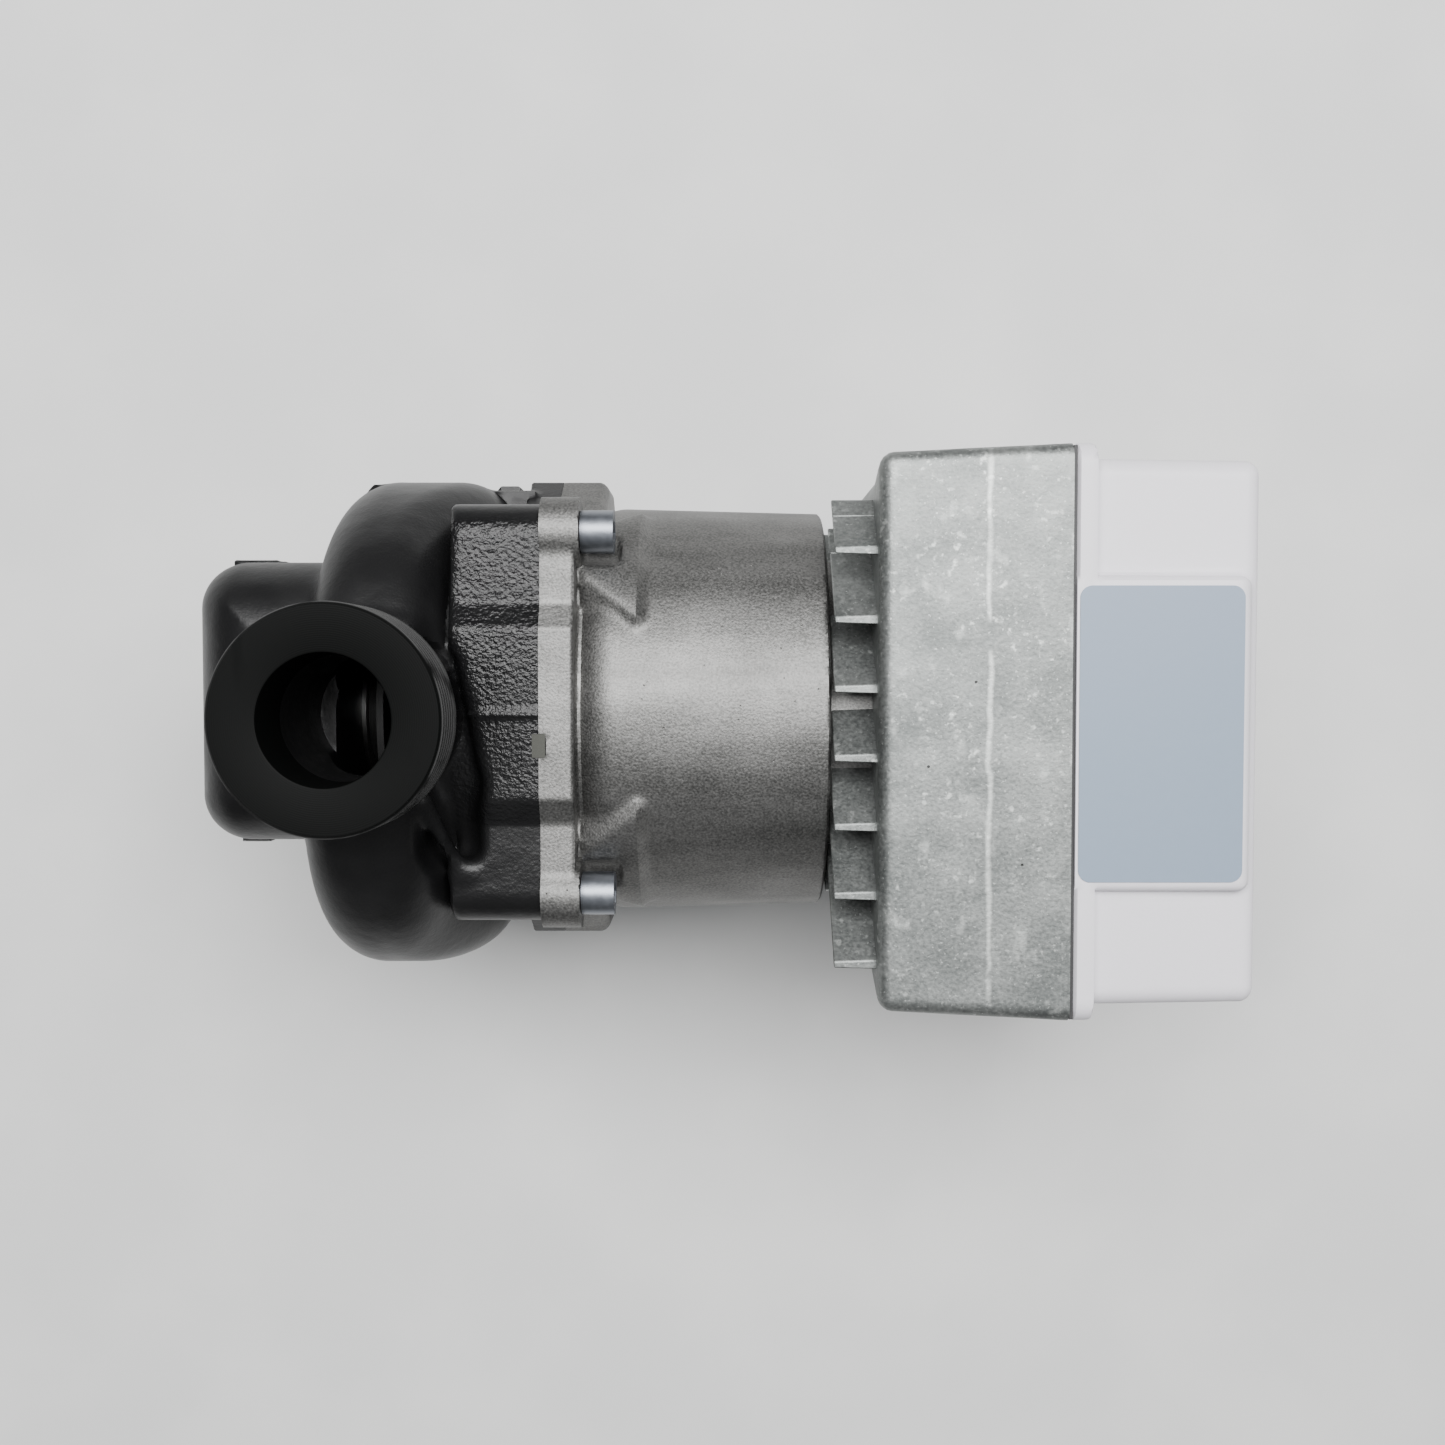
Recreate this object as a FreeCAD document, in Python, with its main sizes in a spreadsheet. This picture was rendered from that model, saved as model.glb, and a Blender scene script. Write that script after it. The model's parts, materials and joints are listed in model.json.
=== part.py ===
import FreeCAD, Part
import Sketcher
import os
import re

# A wet-rotor circulating pump with an electronics head, in millimetres.
# +Z runs up the pipe that the pump sits in, +X runs from the pipe along the motor to the electronics.
# The origin is the middle of the lower port's sealing face. The motor axis crosses the pipe axis.
# In every formula below, z is counted from the motor axis unless the text says "pipe".

os.makedirs("parts", exist_ok=True)
doc = FreeCAD.newDocument("circulator")

# ---------------------------------------------------------------- driving sizes

SIZES = {
    # the pipe side
    "port_to_port": (180.0, "distance between the two sealing faces"),
    "axis_height": (90.0, "motor axis above the lower sealing face"),
    "port_radius": (23.9, "outside of the union thread, G 1 1/2"),
    "port_bore": (13.5, "radius of the water way in each port"),
    "thread_length": (15.0, "threaded length of each port"),
    "neck_wall": (6.0, "wall of the necks behind the threads"),
    "skirt_radius": (31.0, "upper neck where it runs out into the volute"),
    # the impeller and its chamber
    "impeller_radius": (39.0, "outside of the impeller"),
    "chamber_gap": (5.0, "impeller to the bore that it is fitted through"),
    "right_gap": (13.4, "impeller to the volute on the +Y side"),
    "bottom_gap": (7.0, "impeller to the volute at the bottom"),
    "left_gap": (17.3, "impeller to the volute on the -Y side"),
    "throat_drop": (13.4, "round of the outlet's throat against the +Y side's"),
    "housing_wall": (6.0, "wall of the iron casting"),
    "volute_front": (16.0, "volute in front of the pipe axis"),
    "volute_back": (27.0, "volute behind the pipe axis"),
    "volute_round": (14.0, "round of the volute's outer edges"),
    "eye_radius": (16.3, "inside of the neck ring"),
    "neck_ring_wall": (2.7, "wall of the neck ring"),
    "neck_ring_gap": (0.3, "impeller skirt in the neck ring"),
    "skirt_wall": (2.2, "wall of the impeller skirt"),
    "shroud_thick": (1.6, "both discs of the impeller"),
    "outlet_width": (7.0, "impeller outlet between its discs"),
    "outlet_x": (0.0, "front of the impeller outlet"),
    "blade_thick": (1.8, "thickness of a blade"),
    "blade_round": (22.0, "radius of a blade's curve"),
    "blade_offset": (30.0, "motor axis to the middle of that curve"),
    "hub_radius": (9.0, "impeller hub"),
    "hub_length": (3.0, "impeller hub in front of its outlet"),
    "clip_length": (3.5, "impeller clip"),
    "shaft_nose": (0.5, "shaft end past the clip"),
    "wheel_gap": (2.5, "impeller to the bearing plate"),
    # the suction passage
    "suction_reach": (32.0, "pipe axis to the rising suction passage"),
    "suction_turn": (17.5, "height of the first turn above the lower face"),
    "suction_bore": (12.0, "radius of the suction passage"),
    "suction_half_width": (34.8, "half width of the suction chamber outside"),
    "suction_shift": (2.2, "middle of the suction chamber beside the pipe axis"),
    "suction_top": (34.0, "top of the suction chamber above the motor axis"),
    "suction_bottom": (30.0, "bottom of the suction chamber below the motor axis"),
    "suction_round": (14.0, "rounds of the suction chamber"),
    "suction_gap": (1.5, "suction room in front of the volute's wall"),
    "screw_tip_room": (2.0, "hole past the end of a screw"),
    "edge_chamfer": (1.0, "small bevels and steps"),
    # the joint between pump and motor
    "joint_x": (38.0, "joint face in front of the motor"),
    "block_length": (21.0, "square block behind the volute"),
    "flange_thick": (9.0, "motor flange"),
    "screw_reach": (7.8, "barrel surface to the motor screws"),
    "screw_edge": (6.5, "motor screws to the edge of the flange"),
    "corner_round": (8.0, "round of the flange corners"),
    "pad_half_width": (21.0, "half width of the raised middle of the flange"),
    "pad_rise": (3.0, "height of that raised middle"),
    "pad_cover": (4.0, "least metal of that raised middle over the bearing plate's rim"),
    "ear_radius": (59.4, "reach of the side ears"),
    "ear_top": (-4.0, "upper end of the ears' flat"),
    "ear_bottom": (-20.0, "lower end of the ears' flat"),
    "ear_slope": (18.0, "height of the ears' sloped shoulders"),
    "rim_width": (3.5, "clamped rim of the bearing plate"),
    "rim_land": (1.0, "that rim beyond the motor's bore"),
    "seal_cord": (1.3, "half thickness of the housing seal"),
    "seal_land": (0.7, "iron outside the seal"),
    "seal_slack": (0.1, "seal in its seat"),
    "plate_thick": (2.0, "sheet of the bearing plate"),
    "plug_width": (5.4, "drain slot plug along the joint"),
    "plug_length": (3.0, "drain slot plug across the joint"),
    "plug_depth": (3.0, "drain slot plug into the flange"),
    "plug_shift": (-7.1, "drain slot plug beside the middle"),
    # the motor
    "motor_length": (76.5, "joint face to the end of the barrel"),
    "barrel_radius": (51.6, "barrel at its front end"),
    "barrel_draft": (1.2, "how much smaller the barrel is at its back end"),
    "barrel_wall": (5.1, "wall of the barrel"),
    "valley_depth": (4.1, "valley between the flange and the barrel"),
    "valley_length": (9.0, "length of that valley"),
    "saddle_length": (15.3, "corner saddles behind the flange"),
    "saddle_rise": (1.5, "corner saddles above the barrel"),
    "saddle_foot": (6.0, "corner saddles from the barrel's middle planes"),
    "pocket_radius": (10.2, "pockets round the screw heads"),
    "pocket_length": (7.0, "depth of those pockets"),
    "rear_wall": (6.0, "end walls of the barrel and of its neck"),
    "neck_reach": (37.0, "radius of the barrel's neck, which the box is fastened to"),
    "neck_shell": (5.0, "wall of that neck"),
    "barrel_gap": (0.4, "cooling fins to the end of the barrel"),
    "shaft_radius": (5.0, "rotor shaft"),
    "bearing_gap": (0.05, "shaft in its bearings"),
    "bearing_radius": (10.0, "outside of the bearings"),
    "bearing_lip": (2.0, "sheet that holds the front bearing from the water side"),
    "bearing_room": (1.0, "bearings behind that sheet and in front of the can's end"),
    "bearing_length": (17.0, "front bearing"),
    "rear_bearing_length": (8.0, "rear bearing"),
    "thrust_thick": (3.0, "thrust ring"),
    "thrust_gap": (0.3, "end play of the rotor"),
    "magnet_radius": (20.0, "rotor magnet"),
    "carrier_wall": (1.0, "magnet carrier"),
    "sleeve_wall": (0.5, "rotor sleeve"),
    "can_gap": (0.6, "water gap between rotor and can"),
    "can_wall": (0.6, "separation can"),
    "can_rim": (1.0, "clamped rim of the can"),
    "can_clear": (1.9, "can to the end wall"),
    "stator_gap": (0.1, "can to the stator"),
    "stator_front_space": (14.0, "joint face to the stator stack"),
    "stator_rear_space": (26.5, "stator stack to the end of the barrel"),
    "yoke_width": (6.5, "stator yoke"),
    "tooth_width": (8.0, "stator tooth"),
    "tip_width": (12.6, "tip of a stator tooth"),
    "tip_height": (2.2, "height of the tooth tips"),
    "coil_width": (4.0, "wire on each side of a tooth"),
    "coil_head": (6.0, "wire over the end of a tooth"),
    "coil_gap": (0.3, "wire to the stack"),
    "tooth_root": (1.5, "wire short of the yoke"),
    "tip_gap": (1.0, "wire outside the tooth tips"),
    "collar_wall": (2.0, "end plates of the insulators"),
    "overhang": (4.0, "magnet beyond the stack at each end"),
    "lead_half": (9.0, "half width of the way for the winding connector"),
    "lead_low": (3.0, "that way above the bottom of the neck's bore"),
    "lead_tall": (9.0, "height of that way"),
    "lead_slack": (0.5, "winding connector in its way"),
    # the electronics box
    "box_depth": (42.3, "metal half of the box"),
    "box_half_width": (64.2, "half width at the open side"),
    "box_half_height": (60.0, "half height at the open side"),
    "box_shift": (-4.1, "middle of the box beside the motor axis"),
    "box_draft": (1.8, "how much smaller each side is at the back"),
    "box_round": (3.6, "outer rounds of the metal half"),
    "box_wall": (4.0, "walls of the metal half"),
    "box_floor": (5.0, "floor of the metal half"),
    "fin_length": (9.6, "cooling fins in front of the floor"),
    "fin_thick": (1.8, "thickness of a fin"),
    "fin_pitch": (15.6, "distance between fins along their edge"),
    "fin_phase": (-6.7, "middle fin beside the middle of the box"),
    "fin_side_inset": (10.6, "finned field from the sides of the box"),
    "fin_end_inset": (7.0, "finned field from the ends of the box"),
    "gasket_thick": (0.8, "gasket between the box halves"),
    "gasket_inset": (0.7, "gasket edge behind the box edge"),
    "cover_depth": (41.6, "plastic half of the box"),
    "cover_wall": (2.8, "wall of the plastic half"),
    "rim_depth": (4.4, "plain rim of the cover"),
    "rim_lip": (0.2, "cover rim beyond the metal half"),
    "cover_step": (3.1, "cover corners behind the rim"),
    "cover_round": (4.0, "outer rounds of the cover"),
    "plateau_half_width": (34.5, "half width of the raised band"),
    "plateau_end": (2.6, "raised band short of the cover's end"),
    "label_half_width": (32.7, "half width of the label"),
    "label_length": (36.2, "length of the label"),
    "label_thick": (0.3, "thickness of the label"),
    "label_inset": (0.6, "label from the cover's open side"),
    "label_round": (2.7, "corners of the label"),
    "post_inset": (8.4, "corner posts from the box's outside"),
    "post_radius": (5.0, "corner posts"),
    "cover_post": (6.0, "corner posts of the cover, round their wells"),
    "board_gap": (8.0, "box floor to the main board"),
    "board_thick": (1.6, "main board"),
    "board_side_gap": (8.4, "main board from the side walls"),
    "board_end_gap": (8.2, "main board from the end walls"),
    "tank_radius": (9.0, "bus capacitors"),
    "tank_length": (32.0, "length of the bus capacitors"),
    "tank_side": (19.5, "bus capacitors from the board's right edge"),
    "tank_z": (12.0, "lower bus capacitor above the motor axis"),
    "tank_pitch": (20.0, "distance between the bus capacitors"),
    "choke_radius": (9.0, "ring of the line choke"),
    "choke_cord": (5.0, "half thickness of the line choke"),
    "choke_side": (45.5, "line choke from the board's right edge"),
    "choke_z": (28.0, "line choke above the motor axis"),
    "terminal_rise": (14.0, "mains terminal block above the board"),
    "terminal_width": (32.0, "mains terminal block across the box"),
    "terminal_tall": (12.0, "mains terminal block along the pipe"),
    "terminal_side": (25.5, "mains terminal block from the board's right edge"),
    "terminal_z": (-34.0, "mains terminal block above the motor axis"),
    "filter_rise": (15.0, "mains filter capacitor above the board"),
    "filter_width": (12.0, "mains filter capacitor across the box"),
    "filter_tall": (28.0, "mains filter capacitor along the pipe"),
    "filter_side": (18.5, "mains filter capacitor from the board's left edge"),
    "filter_z": (-22.0, "mains filter capacitor above the motor axis"),
    "pad_thick": (0.5, "thermal pad under the power module"),
    "module_width": (42.0, "power module across the box"),
    "module_tall": (26.0, "power module along the pipe"),
    # the cable entries
    "entry_x": (20.0, "cable entries behind the box's back face"),
    "entry_y": (24.0, "cable entries beside the middle of the box"),
    "entry_radius": (10.0, "thread of the cable entries, M20"),
    "cable_bore": (5.5, "way through the gland"),
    "gland_length": (22.0, "gland outside the box"),
    "hex_half": (12.0, "half the size across the gland's flats"),
    "hex_thick": (6.0, "hexagon of the gland"),
    "plug_hex_thick": (5.0, "hexagon of the blanking plug"),
    "entry_land": (0.2, "locknuts above the box's inner wall"),
    "locknut_thick": (2.5, "locknuts"),
    "locknut_wall": (3.0, "locknuts round the thread"),
    "seal_wall": (2.4, "gland seal"),
    "seal_grip": (0.2, "gland seal inside the way"),
    "gland_neck": (0.5, "gland's outer end against its thread"),
    # screws: M6, M5, M4 and M3
    "fit_gap": (0.05, "screws in their holes"),
    "motor_screw": (3.0, "motor screw shank"),
    "motor_screw_grip": (15.0, "motor screw in the iron"),
    "motor_head": (5.0, "motor screw head"),
    "washer_radius": (4.95, "washer under that head"),
    "washer_thick": (1.6, "thickness of that washer"),
    "sink_screw": (2.5, "screws that hold the box to the barrel"),
    "sink_screw_reach": (31.0, "those screws from the motor axis"),
    "sink_boss": (6.0, "bosses for those screws inside the barrel"),
    "sink_screw_length": (16.0, "shank of those screws"),
    "cover_screw": (2.0, "cover screws"),
    "cover_screw_length": (16.0, "shank of the cover screws"),
    "cover_well": (5.0, "floor of the wells that the cover screws stand in"),
    "board_screw": (1.5, "board screws"),
    "board_screw_length": (7.5, "shank of the board screws"),
    "board_screw_inset": (5.0, "board screws from the board's edges"),
    # parts count and small clearances
    "skin_gap": (0.3, "gap between a part and the hole that it sits in"),
    "past": (1.0, "cutters run this far past what they cut"),
}
TEETH = 9
BLADES = 7
FINS = range(-10, 4)

# Values worked out from the sizes above. Each is written once and used by every piece that meets there.
DERIVED = {
    "neck_radius": "port_bore + neck_wall",
    "chamber_bore": "impeller_radius + chamber_gap",
    "rim_radius": "max(chamber_bore + rim_width; barrel_bore + rim_land)",
    "right_reach": "impeller_radius + right_gap + housing_wall",
    "bottom_reach": "impeller_radius + bottom_gap + housing_wall",
    "left_reach": "impeller_radius + left_gap + housing_wall",
    "bottom_y": "right_reach - bottom_reach",
    "left_round": "left_reach + bottom_y",
    "throat_radius": "right_reach - throat_drop",
    "left_z": "left_round - bottom_reach",
    "throat_y": "throat_radius - left_reach",
    "volute_top": "left_z + throat_radius",
    "turn_rise": "suction_reach",
    "suction_outer": "suction_bore + housing_wall",
    "suction_front": "suction_reach + suction_outer",
    "back_disc": "outlet_x + outlet_width",
    "plate_front": "back_disc + shroud_thick + wheel_gap",
    "screw_offset": "(max(rim_radius; barrel_radius) + screw_reach) / sqrt(2)",
    "flange_half": "screw_offset + screw_edge",
    "pad_half": "max(flange_half + pad_rise; rim_radius + pad_cover)",
    "flange_back": "joint_x + flange_thick",
    "ear_half": "max(ear_radius; flange_half + 6)",
    "motor_end": "joint_x + motor_length",
    "barrel_bore": "barrel_radius - barrel_wall",
    "barrel_end": "motor_end - fin_length - barrel_gap",
    "neck_bore": "neck_reach - neck_shell",
    "can_flange": "joint_x + plate_thick",
    "can_inner": "magnet_radius + sleeve_wall + can_gap",
    "can_outer": "can_inner + can_wall",
    "can_end": "motor_end - rear_wall - can_clear",
    "stator_bore": "can_outer + stator_gap",
    "stack_start": "joint_x + stator_front_space",
    "stack_end": "motor_end - stator_rear_space",
    "yoke_inner": "barrel_bore - yoke_width",
    "bearing_front": "plate_front + plate_thick + bearing_room",
    "bearing_back": "bearing_front + bearing_length",
    "rear_bearing_back": "can_end - can_wall - bearing_room",
    "rear_bearing_front": "rear_bearing_back - rear_bearing_length",
    "thrust_front": "bearing_back + thrust_gap",
    "box_start": "motor_end",
    "box_open": "box_start + box_depth",
    "cover_start": "box_open + gasket_thick",
    "cover_end": "cover_start + cover_depth",
    "rim_half_width": "box_half_width + rim_lip",
    "rim_half_height": "box_half_height + rim_lip",
    "post_y": "box_half_width - post_inset",
    "post_z": "box_half_height - post_inset",
    "floor_x": "box_start + box_floor",
    "board_x": "floor_x + board_gap",
    "board_top": "board_x + board_thick",
    "room_half_width": "box_half_width - box_draft - box_wall",
    "room_half_height": "box_half_height - box_draft - box_wall",
    "board_half_width": "room_half_width - board_side_gap",
    "board_half_height": "room_half_height - board_end_gap",
    "tank_y": "box_shift + board_half_width - tank_side",
    "choke_y": "box_shift + board_half_width - choke_side",
    "terminal_y": "box_shift + board_half_width - terminal_side",
    "filter_y": "box_shift - board_half_width + filter_side",
    "fin_half_width": "box_half_width - fin_side_inset",
    "fin_half_height": "box_half_height - fin_end_inset",
    "locknut_seat": "entry_land - room_half_height",
}


def expand(formula):
    """Spell a formula out: worked-out names become their formulas, sizes get the sheet's name."""

    def swap(match):
        word = match.group(0)
        if word in DERIVED:
            return "(" + expand(DERIVED[word]) + ")"
        return "sizes." + word if word in SIZES else word

    return re.sub(r"[a-z_]+", swap, str(formula))


sheet = doc.addObject("Spreadsheet::Sheet", "sizes")
for row, (alias, (value, meaning)) in enumerate(SIZES.items(), start=1):
    sheet.set(f"A{row}", meaning)
    sheet.set(f"B{row}", str(value))
    sheet.setAlias(f"B{row}", alias)
doc.recompute()

# ---------------------------------------------------------------- building blocks

ALONG_X = FreeCAD.Rotation(FreeCAD.Vector(0, 1, 0), 90)
UPRIGHT = FreeCAD.Rotation()
BOX_Y = "box_shift"


def bind(item, **formulas):
    """Tie properties of an object to the sheet."""
    for name, formula in formulas.items():
        item.setExpression(name, expand(formula))
    return item


def put(item, x, y, z, turn=UPRIGHT):
    """Place an object; z is counted from the lower sealing face."""
    item.Placement = FreeCAD.Placement(FreeCAD.Vector(), turn)
    item.setExpression("Placement.Base.x", expand(x))
    item.setExpression("Placement.Base.y", expand(y))
    item.setExpression("Placement.Base.z", expand(z))
    return item


def from_axis(z):
    """A height above the motor axis, as a height above the lower sealing face."""
    return f"axis_height + ({z})"


def rod(name, radius, start, end, y="0", z="0"):
    """A cylinder along the motor, from start to end."""
    item = doc.addObject("Part::Cylinder", name)
    bind(item, Radius=radius, Height=f"({end}) - ({start})")
    return put(item, start, y, from_axis(z), ALONG_X)


def pipe(name, radius, low, high, x="0", y="0"):
    """A cylinder along the pipe, with both heights counted from the lower sealing face."""
    item = doc.addObject("Part::Cylinder", name)
    bind(item, Radius=radius, Height=f"({high}) - ({low})")
    return put(item, x, y, low)


def ball(name, radius, x, z):
    """A ball in the plane of the two axes, with its height counted from the lower sealing face."""
    item = doc.addObject("Part::Sphere", name)
    bind(item, Radius=radius)
    return put(item, x, "0", z)


def block(name, x, y, z):
    """A box between pairs of formulas; z is counted from the motor axis."""
    item = doc.addObject("Part::Box", name)
    bind(
        item,
        Length=f"({x[1]}) - ({x[0]})",
        Width=f"({y[1]}) - ({y[0]})",
        Height=f"({z[1]}) - ({z[0]})",
    )
    return put(item, x[0], y[0], from_axis(z[0]))


def fuse(name, items):
    item = doc.addObject("Part::MultiFuse", name)
    item.Shapes = items
    item.Refine = True
    return item


def cut(name, base, tools):
    item = doc.addObject("Part::Cut", name)
    item.Base = base
    item.Tool = tools[0] if len(tools) == 1 else fuse(name + "_cutter", tools)
    item.Refine = True
    return item


def common(name, first, second):
    item = doc.addObject("Part::Common", name)
    item.Base = first
    item.Tool = second
    return item


def group(name, items):
    """Separate solids kept in one sub-part."""
    item = doc.addObject("Part::Compound", name)
    item.Links = items
    return item


def rounded(name, base, size, wanted):
    """Round those edges of a piece whose box satisfies the test."""
    doc.recompute()
    item = doc.addObject("Part::Fillet", name)
    item.Base = base
    radius = SIZES[size][0]
    edges = [n for n, edge in enumerate(base.Shape.Edges, 1) if wanted(edge.BoundBox)]
    item.Edges = [(n, radius, radius) for n in edges]
    return item


def plane_of(body, role):
    return next(item for item in body.Origin.OriginFeatures if item.Role == role)


def closed_sketch(body, role, points):
    """A closed run of straight lines on one of the body's planes, every corner tied to the sheet."""
    sketch = body.newObject("Sketcher::SketchObject", body.Name + "_sketch")
    sketch.AttachmentSupport = [(plane_of(body, role), "")]
    sketch.MapMode = "FlatFace"
    count = len(points)
    spokes = [FreeCAD.Rotation(FreeCAD.Vector(0, 0, 1), 360.0 * n / count) for n in range(count)]
    corners = [spoke.multVec(FreeCAD.Vector(50, 0, 0)) for spoke in spokes]
    lines = [Part.LineSegment(corners[n], corners[(n + 1) % count]) for n in range(count)]
    sketch.addGeometry(lines, False)
    for n in range(count):
        sketch.addConstraint(Sketcher.Constraint("Coincident", n, 2, (n + 1) % count, 1))
    for n, (across, up) in enumerate(points):
        for kind, here, formula in (
            ("DistanceX", corners[n].x, across),
            ("DistanceY", corners[n].y, up),
        ):
            index = sketch.addConstraint(Sketcher.Constraint(kind, -1, 1, n, 1, here))
            sketch.setExpression(f"Constraints[{index}]", expand(formula))
    return sketch


def turned(name, points):
    """A piece turned about the motor axis from (x, radius) corners."""
    body = doc.addObject("PartDesign::Body", name)
    sketch = closed_sketch(body, "XZ_Plane", points)
    turn = body.newObject("PartDesign::Revolution", name + "_turn")
    turn.Profile = sketch
    turn.ReferenceAxis = (sketch, ["H_Axis"])
    turn.Angle = 360
    return put(body, "0", "0", "axis_height")


def padded(name, points, start, end):
    """A piece of constant section along the motor, from (y, z) corners about the motor axis."""
    body = doc.addObject("PartDesign::Body", name)
    sketch = closed_sketch(body, "YZ_Plane", points)
    pad = body.newObject("PartDesign::Pad", name + "_pad")
    pad.Profile = sketch
    bind(pad, Length=f"({end}) - ({start})")
    return put(body, start, "0", "axis_height")


def ring(name, inner, outer, start, end):
    """A plain ring about the motor axis."""
    return turned(name, [(start, inner), (end, inner), (end, outer), (start, outer)])


SUBPARTS = []


def finished(item, label):
    """Name a sub-part; its label names its file."""
    item.Label = label
    SUBPARTS.append(item)
    return item


CORNERS = [(1, 1), (1, -1), (-1, 1), (-1, -1)]


# ---------------------------------------------------------------- the iron pump housing

# One corner's share of the flange outline; the ears sit a little below the motor axis.
FLANGE_RIGHT = [
    ("pad_half_width", "pad_half"),
    ("pad_half_width + pad_rise", "flange_half"),
    ("flange_half", "flange_half"),
    ("flange_half", "ear_top + ear_slope"),
    ("ear_half", "ear_top"),
    ("ear_half", "ear_bottom"),
    ("flange_half", "ear_bottom - ear_slope * 0.9"),
    ("flange_half", "-flange_half"),
    ("pad_half_width + pad_rise", "-flange_half"),
    ("pad_half_width", "-pad_half"),
]


def flange(name, start, end):
    """The squarish flange that the pump and the motor share, with its four corners rounded."""
    left = [(f"-({y})", z) for y, z in reversed(FLANGE_RIGHT)]
    body = padded(name, FLANGE_RIGHT + left, start, end)
    doc.recompute()
    plain = body.Tip
    edges = []
    for n, edge in enumerate(plain.Shape.Edges, 1):
        box = edge.BoundBox
        corner = abs(abs(box.Center.y) - abs(box.Center.z)) < 0.1
        if corner and box.XLength > 1:
            edges.append(f"Edge{n}")
    fillet = body.newObject("PartDesign::Fillet", name + "_fillet")
    fillet.Base = (plain, edges)
    bind(fillet, Radius="corner_round")
    return body


def quarter(name, radius, start, end, y, z, steps):
    """A quarter disc about (y, z), turned in steps of a right angle from the lower right."""
    item = rod(name, radius, start, end, y, z)
    item.Angle = 90
    spin = FreeCAD.Rotation(FreeCAD.Vector(0, 0, 1), 90 * steps)
    return put(item, start, y, from_axis(z), ALONG_X.multiply(spin))


def spiral(name, shrink, start, end):
    """The volute's outline: four quarter rounds that meet smoothly, and the outlet's throat."""
    pieces = [
        quarter(name + "_right", f"right_reach - ({shrink})", start, end, "0", "0", 1),
        quarter(name + "_bottom", f"bottom_reach - ({shrink})", start, end, "bottom_y", "0", 0),
        quarter(name + "_left", f"left_round - ({shrink})", start, end, "bottom_y", "left_z", 3),
        quarter(name + "_top", f"throat_radius - ({shrink})", start, end, "throat_y", "left_z", 2),
        block(name + "_throat", (start, end), ("throat_y", "0"), ("left_z", f"volute_top - ({shrink})")),
    ]
    return fuse(name, pieces)


def slanted(name, radius):
    """The stretch of the suction passage that leans forward at 45 degrees."""
    item = doc.addObject("Part::Cylinder", name)
    bind(item, Radius=radius, Height="turn_rise * sqrt(2)")
    lean = FreeCAD.Rotation(FreeCAD.Vector(0, 1, 0), -45)
    return put(item, "0", "0", "suction_turn", lean)


def at_plane(place):
    """A test for the edges that lie in a plane across the motor."""
    return lambda box: box.XLength < 0.01 and abs(box.XMin - place) < 0.01


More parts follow.
